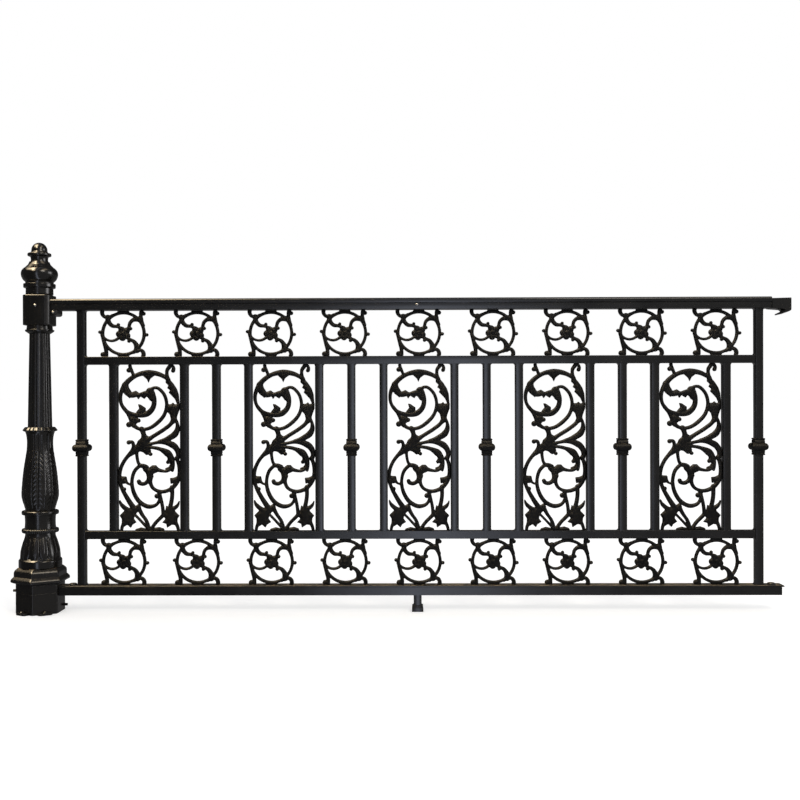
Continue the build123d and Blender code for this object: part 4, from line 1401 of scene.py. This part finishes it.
@dataclass
class Fixings:
    """Pan-head screws on the rail block, cradle, top rail and plinth, and bolts in the base lugs."""

    finishes: Finishes
    screw_radius: float = 4.2
    screw_height: float = 2.2
    recess_depth: float = 1.1
    rail_level: float = 977.0
    side_screw_reach: float = 75.0
    side_screw_offset: float = 30.0
    side_screw_depth: float = 9.5
    lug_centre: float = 74.7
    washer_radius: float = 7.8
    nut_radius: float = 5.6
    lug_top: float = 5.6

    def screw(self, shell: Shell, middle: Triple, facing: float, depth: float = 1.0) -> None:
        """Add a pan-head screw whose dome is height * sqrt(1 - (0.9 r)^2) less a crossed recess.

        Args:
            shell: surface to add it to.
            middle: centre of its seat.
            facing: direction in plan that it faces, in degrees.
            depth: how far it reaches back behind its seat.
        """
        share = np.array([1.0, 1.0, 0.97, 0.9, 0.8, 0.68, 0.56, 0.46, 0.4, 0.34, 0.28, 0.2, 0.12, 0.0])[:, None]
        angle = np.linspace(0, 2 * pi, 64, endpoint=False)[None]
        across, up = share * np.cos(angle), share * np.sin(angle)
        slots = [smooth_step(-0.14, -0.07, -np.abs(way)) for way in (across, up)]
        recess = np.maximum(*slots) * (1 - smooth_step(0.42, 0.5, share + 0 * angle))
        out = self.screw_height * np.sqrt(1 - 0.81 * share**2) + 0 * angle - self.recess_depth * recess
        out[0] = -depth
        c, s = cos(radians(facing)), sin(radians(facing))
        grid = np.stack(
            [
                middle[0] + out * c - across * self.screw_radius * s,
                middle[1] + out * s + across * self.screw_radius * c,
                middle[2] + up * self.screw_radius,
            ],
            axis=-1,
        )
        seat = grid.mean(axis=1, keepdims=True)[:1].repeat(grid.shape[1], axis=1)
        shell.grid(np.concatenate([seat, grid]))

    def screws(self) -> None:
        """Build the bright screws on both faces of the rail and the dark ones at the plinth's sides."""
        block, cradle = node_span("post_rail_block"), node_span("post_rail_cradle")
        seats = (
            (0, block.high[1], self.rail_level),
            (cradle.middle[0] - 2, cradle.high[1], cradle.low[2] + 12),
            (node_span("foot_stem").middle[0], node_span("top_rail_body").high[1], self.rail_level),
        )
        shell = Shell()
        for facing, front in ((-90, -1), (90, 1)):
            for x, y, z in seats:
                self.screw(shell, (x, front * y, z), facing)
        shell.build("rail_screws", Slot.BAR, self.finishes.fixing)
        shell = Shell()
        for facing, way, height in ((180, -1, 72), (0, 1, 16)):
            middle = (self.side_screw_reach * way, self.side_screw_offset * way, height)
            self.screw(shell, middle, facing, self.side_screw_depth)
        shell.build("plinth_screws", Slot.POST, self.finishes.casting)

    def bolts(self) -> None:
        """Build a washer and a six-sided head in each lug."""
        wide, low, nut = self.washer_radius, self.lug_top, self.nut_radius
        washer = closed_profile([(wide, low, 0), (wide, low + 1.7, 0.5)], 3)
        six = rounded([(nut * cos(pi / 3 * k), nut * sin(pi / 3 * k), 0.5) for k in range(6)], steps=3)
        shell = Shell()
        for turn in (60, 120, 240, 300):
            x, y = self.lug_centre * cos(radians(turn)), self.lug_centre * sin(radians(turn))
            shell.lathe(washer, 40, None, (x, y, 0))
            shell.prism(six, [(low + 1.6, 0), (low + 4.6, 0), (low + 5.4, 0.8)], Axis.UP, (x, y))
        shell.build("lug_bolts", Slot.POST, self.finishes.post)

    def build(self) -> None:
        """Build the screws and the lug bolts."""
        self.screws()
        self.bolts()


@dataclass
class Studio:
    """Pale floor, white surround, soft light and the camera.

    Levels of the mirrored surround: mirrored is the backdrop's below and above the horizon, room
    the room's at the left and the right, and window, side and skylight the lights' in it.
    """

    lens: float = 46.395
    place: Triple = (1.1864, -3.2939, 0.6842)
    turn: float = 0.559
    pitch: float = -0.175
    roll: float = -0.15
    around: float = 0.8
    floor_colour: float = 0.8
    floor_glow: float = 0.42
    floor_reach: float = 150.0
    mirrored: tuple[float, float] = (0.16, 0.05)
    room: tuple[float, float] = (0.07, 0.26)
    window: float = 2.5
    window_place: float = 0.02
    window_width: float = 0.06
    side: float = 5.0
    skylight: float = 20.0
    key_place: Triple = (2.7, -3.0, 3.2)
    key_aim: Triple = (1.3, 0.0, 0.5)
    key_size: float = 1.6
    key_watts: float = 60.0
    key_colour: Triple = (1.0, 0.93, 0.82)

    def camera(self) -> None:
        """Set the camera at the photograph's viewpoint."""
        data = bpy.data.cameras.new("camera")
        data.lens, data.sensor_width = self.lens, 36.0
        data.clip_start, data.clip_end = 0.05, 400.0
        camera = bpy.data.objects.new("camera", data)
        bpy.context.scene.collection.objects.link(camera)
        camera.matrix_world = (
            Matrix.Translation(self.place)
            @ Matrix.Rotation(radians(self.turn), 4, "Z")
            @ Matrix.Rotation(radians(90 + self.pitch), 4, "X")
            @ Matrix.Rotation(radians(self.roll), 4, "Z")
        )
        bpy.context.scene.camera = camera

    def background_rays(self, nodes: NodeTree) -> Socket:
        """Share of the white background that a ray meets: 1 for camera and transmission rays."""
        path = nodes.node("ShaderNodeLightPath")
        return nodes.math("MAXIMUM", path.outputs["Is Camera Ray"], path.outputs["Is Transmission Ray"])

    def floor(self) -> None:
        """Lay a wide pale floor that keeps the object's shadow."""
        material = bpy.data.materials.new("pale_floor")
        nodes = blank_tree(material)
        diffuse = nodes.node("ShaderNodeBsdfDiffuse", {"Color": (*[self.floor_colour] * 3, 1)})
        strength = nodes.math("MULTIPLY", self.background_rays(nodes), self.floor_glow)
        glow = nodes.node("ShaderNodeEmission", {"Color": (1, 1, 1, 1), "Strength": strength})
        both = nodes.node("ShaderNodeAddShader", {0: diffuse.outputs[0], 1: glow.outputs[0]})
        nodes.node("ShaderNodeOutputMaterial", {"Surface": both.outputs[0]})
        mesh = bpy.data.meshes.new("studio_floor")
        corners = [(x * self.floor_reach, y * self.floor_reach, 0) for x, y in ((-1, -1), (1, -1), (1, 1), (-1, 1))]
        mesh.from_pydata(corners, [], [(0, 1, 2, 3)])
        mesh.materials.append(material)
        ground = bpy.data.objects.new("studio_floor", mesh)
        bpy.context.scene.collection.objects.link(ground)
        ground.visible_glossy = False

    def mirrored_room(self, nodes: NodeTree) -> Socket:
        """Colour of the surround that the paint mirrors.

        Behind the object it is the backdrop, dimmed. In front it is a room that grows lighter to
        the right, with a tall cool window of exp(-((x - place) / width)^2) and a lamp straight to
        the right. A warm skylight lies high on the left, with a weak part behind and another on
        the right.

        Args:
            nodes: tree to add the nodes to.

        Returns:
            The colour's socket.
        """
        axes = nodes.node("ShaderNodeSeparateXYZ", {0: nodes.node("ShaderNodeTexCoord").outputs["Generated"]})
        x, y, z = axes.outputs
        math, ramp = nodes.math, nodes.smooth

        def product(*factors: Socket | float) -> Socket:
            """Product of all factors."""
            return reduce(lambda first, second: math("MULTIPLY", first, second), factors)

        away = math("DIVIDE", math("SUBTRACT", x, self.window_place), self.window_width)
        shape = math("EXPONENT", math("MULTIPLY", math("MULTIPLY", away, away), -1.0))
        window = product(shape, self.window, ramp(z, 0.03, 0.14, 1.0, 0.25))
        lamp = product(
            ramp(y, -0.32, -0.12, 0.0, 1.0), ramp(y, 0.06, 0.26, 1.0, 0.0), ramp(z, -0.1, 0.04, 0.0, 1.0),
            ramp(z, 0.24, 0.4, 1.0, 0.0), ramp(x, 0.7, 0.85, 0.0, self.side),
        )
        room = math("ADD", ramp(x, -0.35, 0.05, *self.room), lamp)
        front = ramp(y, 0.45, 0.1, 0.0, 1.0)
        backdrop = ramp(z, -0.03, 0.03, *self.mirrored)
        plain = nodes.node("ShaderNodeMix", {0: front, 2: backdrop, 3: room}).outputs[0]
        above = math("SUBTRACT", z, ramp(x, -0.5, -0.4, 0.56, 0.42))
        high = ramp(above, 0.0, 0.18, 0.0, self.skylight)
        inner = ramp(x, -0.98, -0.85, 0.0, 1.0)
        before = ramp(y, 0.08, -0.06, 0.0, 1.0)
        left = product(
            inner, ramp(x, -0.3, -0.12, 1.0, 0.0), ramp(x, -0.33, -0.2, 1.6, 1.0), ramp(x, -0.5, -0.42, 0.5, 1.0),
            before,
        )
        behind = product(ramp(x, -0.42, -0.56, 0.0, 0.16), ramp(y, 0.7, 0.5, 0.0, 1.0), inner)
        right = product(ramp(x, 0.37, 0.45, 0.0, 0.16), ramp(x, 0.6, 0.7, 1.0, 0.0), before)
        warm = math("MULTIPLY", high, math("ADD", math("MAXIMUM", left, behind), right))
        lights = [(plain, (1.0, 0.985, 0.99)), (product(window, front), (0.9, 0.98, 1.2)), (warm, (1.0, 0.8, 0.52))]
        tinted = [
            nodes.node("ShaderNodeVectorMath", {0: colour, "Scale": level}, operation="SCALE").outputs[0]
            for level, colour in lights
        ]
        return reduce(
            lambda first, second: nodes.node("ShaderNodeVectorMath", {0: first, 1: second}, operation="ADD").outputs[0],
            tinted,
        )

    def world(self) -> None:
        """Light the scene with a white surround, which the paint mirrors as a dimmer room."""
        world = bpy.data.worlds.new("studio")
        bpy.context.scene.world = world
        nodes = blank_tree(world)
        glossy = nodes.node("ShaderNodeLightPath").outputs["Is Glossy Ray"]
        plain = nodes.node("ShaderNodeMix", {0: self.background_rays(nodes), 2: self.around, 3: 1.0}).outputs[0]
        white = nodes.node("ShaderNodeCombineColor", {0: plain, 1: plain, 2: plain}).outputs[0]
        colour = nodes.mix(glossy, white, self.mirrored_room(nodes))
        background = nodes.node("ShaderNodeBackground", {"Color": colour, "Strength": 1.0})
        nodes.node("ShaderNodeOutputWorld", {"Surface": background.outputs[0]})

    def soft_key(self) -> None:
        """Hang a soft square light in front of the object, high on the right."""
        data = bpy.data.lights.new("soft_key", "AREA")
        data.size, data.energy, data.color = self.key_size, self.key_watts, self.key_colour
        light = bpy.data.objects.new("soft_key", data)
        bpy.context.scene.collection.objects.link(light)
        facing = (Vector(self.key_aim) - Vector(self.key_place)).to_track_quat("-Z", "Y")
        light.matrix_world = Matrix.Translation(self.key_place) @ facing.to_matrix().to_4x4()
        light.visible_camera = False

    def build(self) -> None:
        """Set the stage, lights and camera."""
        self.camera()
        self.floor()
        self.world()
        self.soft_key()
        bpy.context.scene.view_settings.view_transform = "Standard"


def main() -> None:
    """Build the fence in order."""
    logging.basicConfig(level=logging.INFO, format="%(message)s")
    finishes = Finishes()
    Studio().build()
    NewelPost(finishes).build()
    Rails(finishes).build()
    Uprights(finishes).build()
    Castings(finishes).build()
    Foot(finishes).build()
    Fixings(finishes).build()


if __name__ == "__main__":
    main()
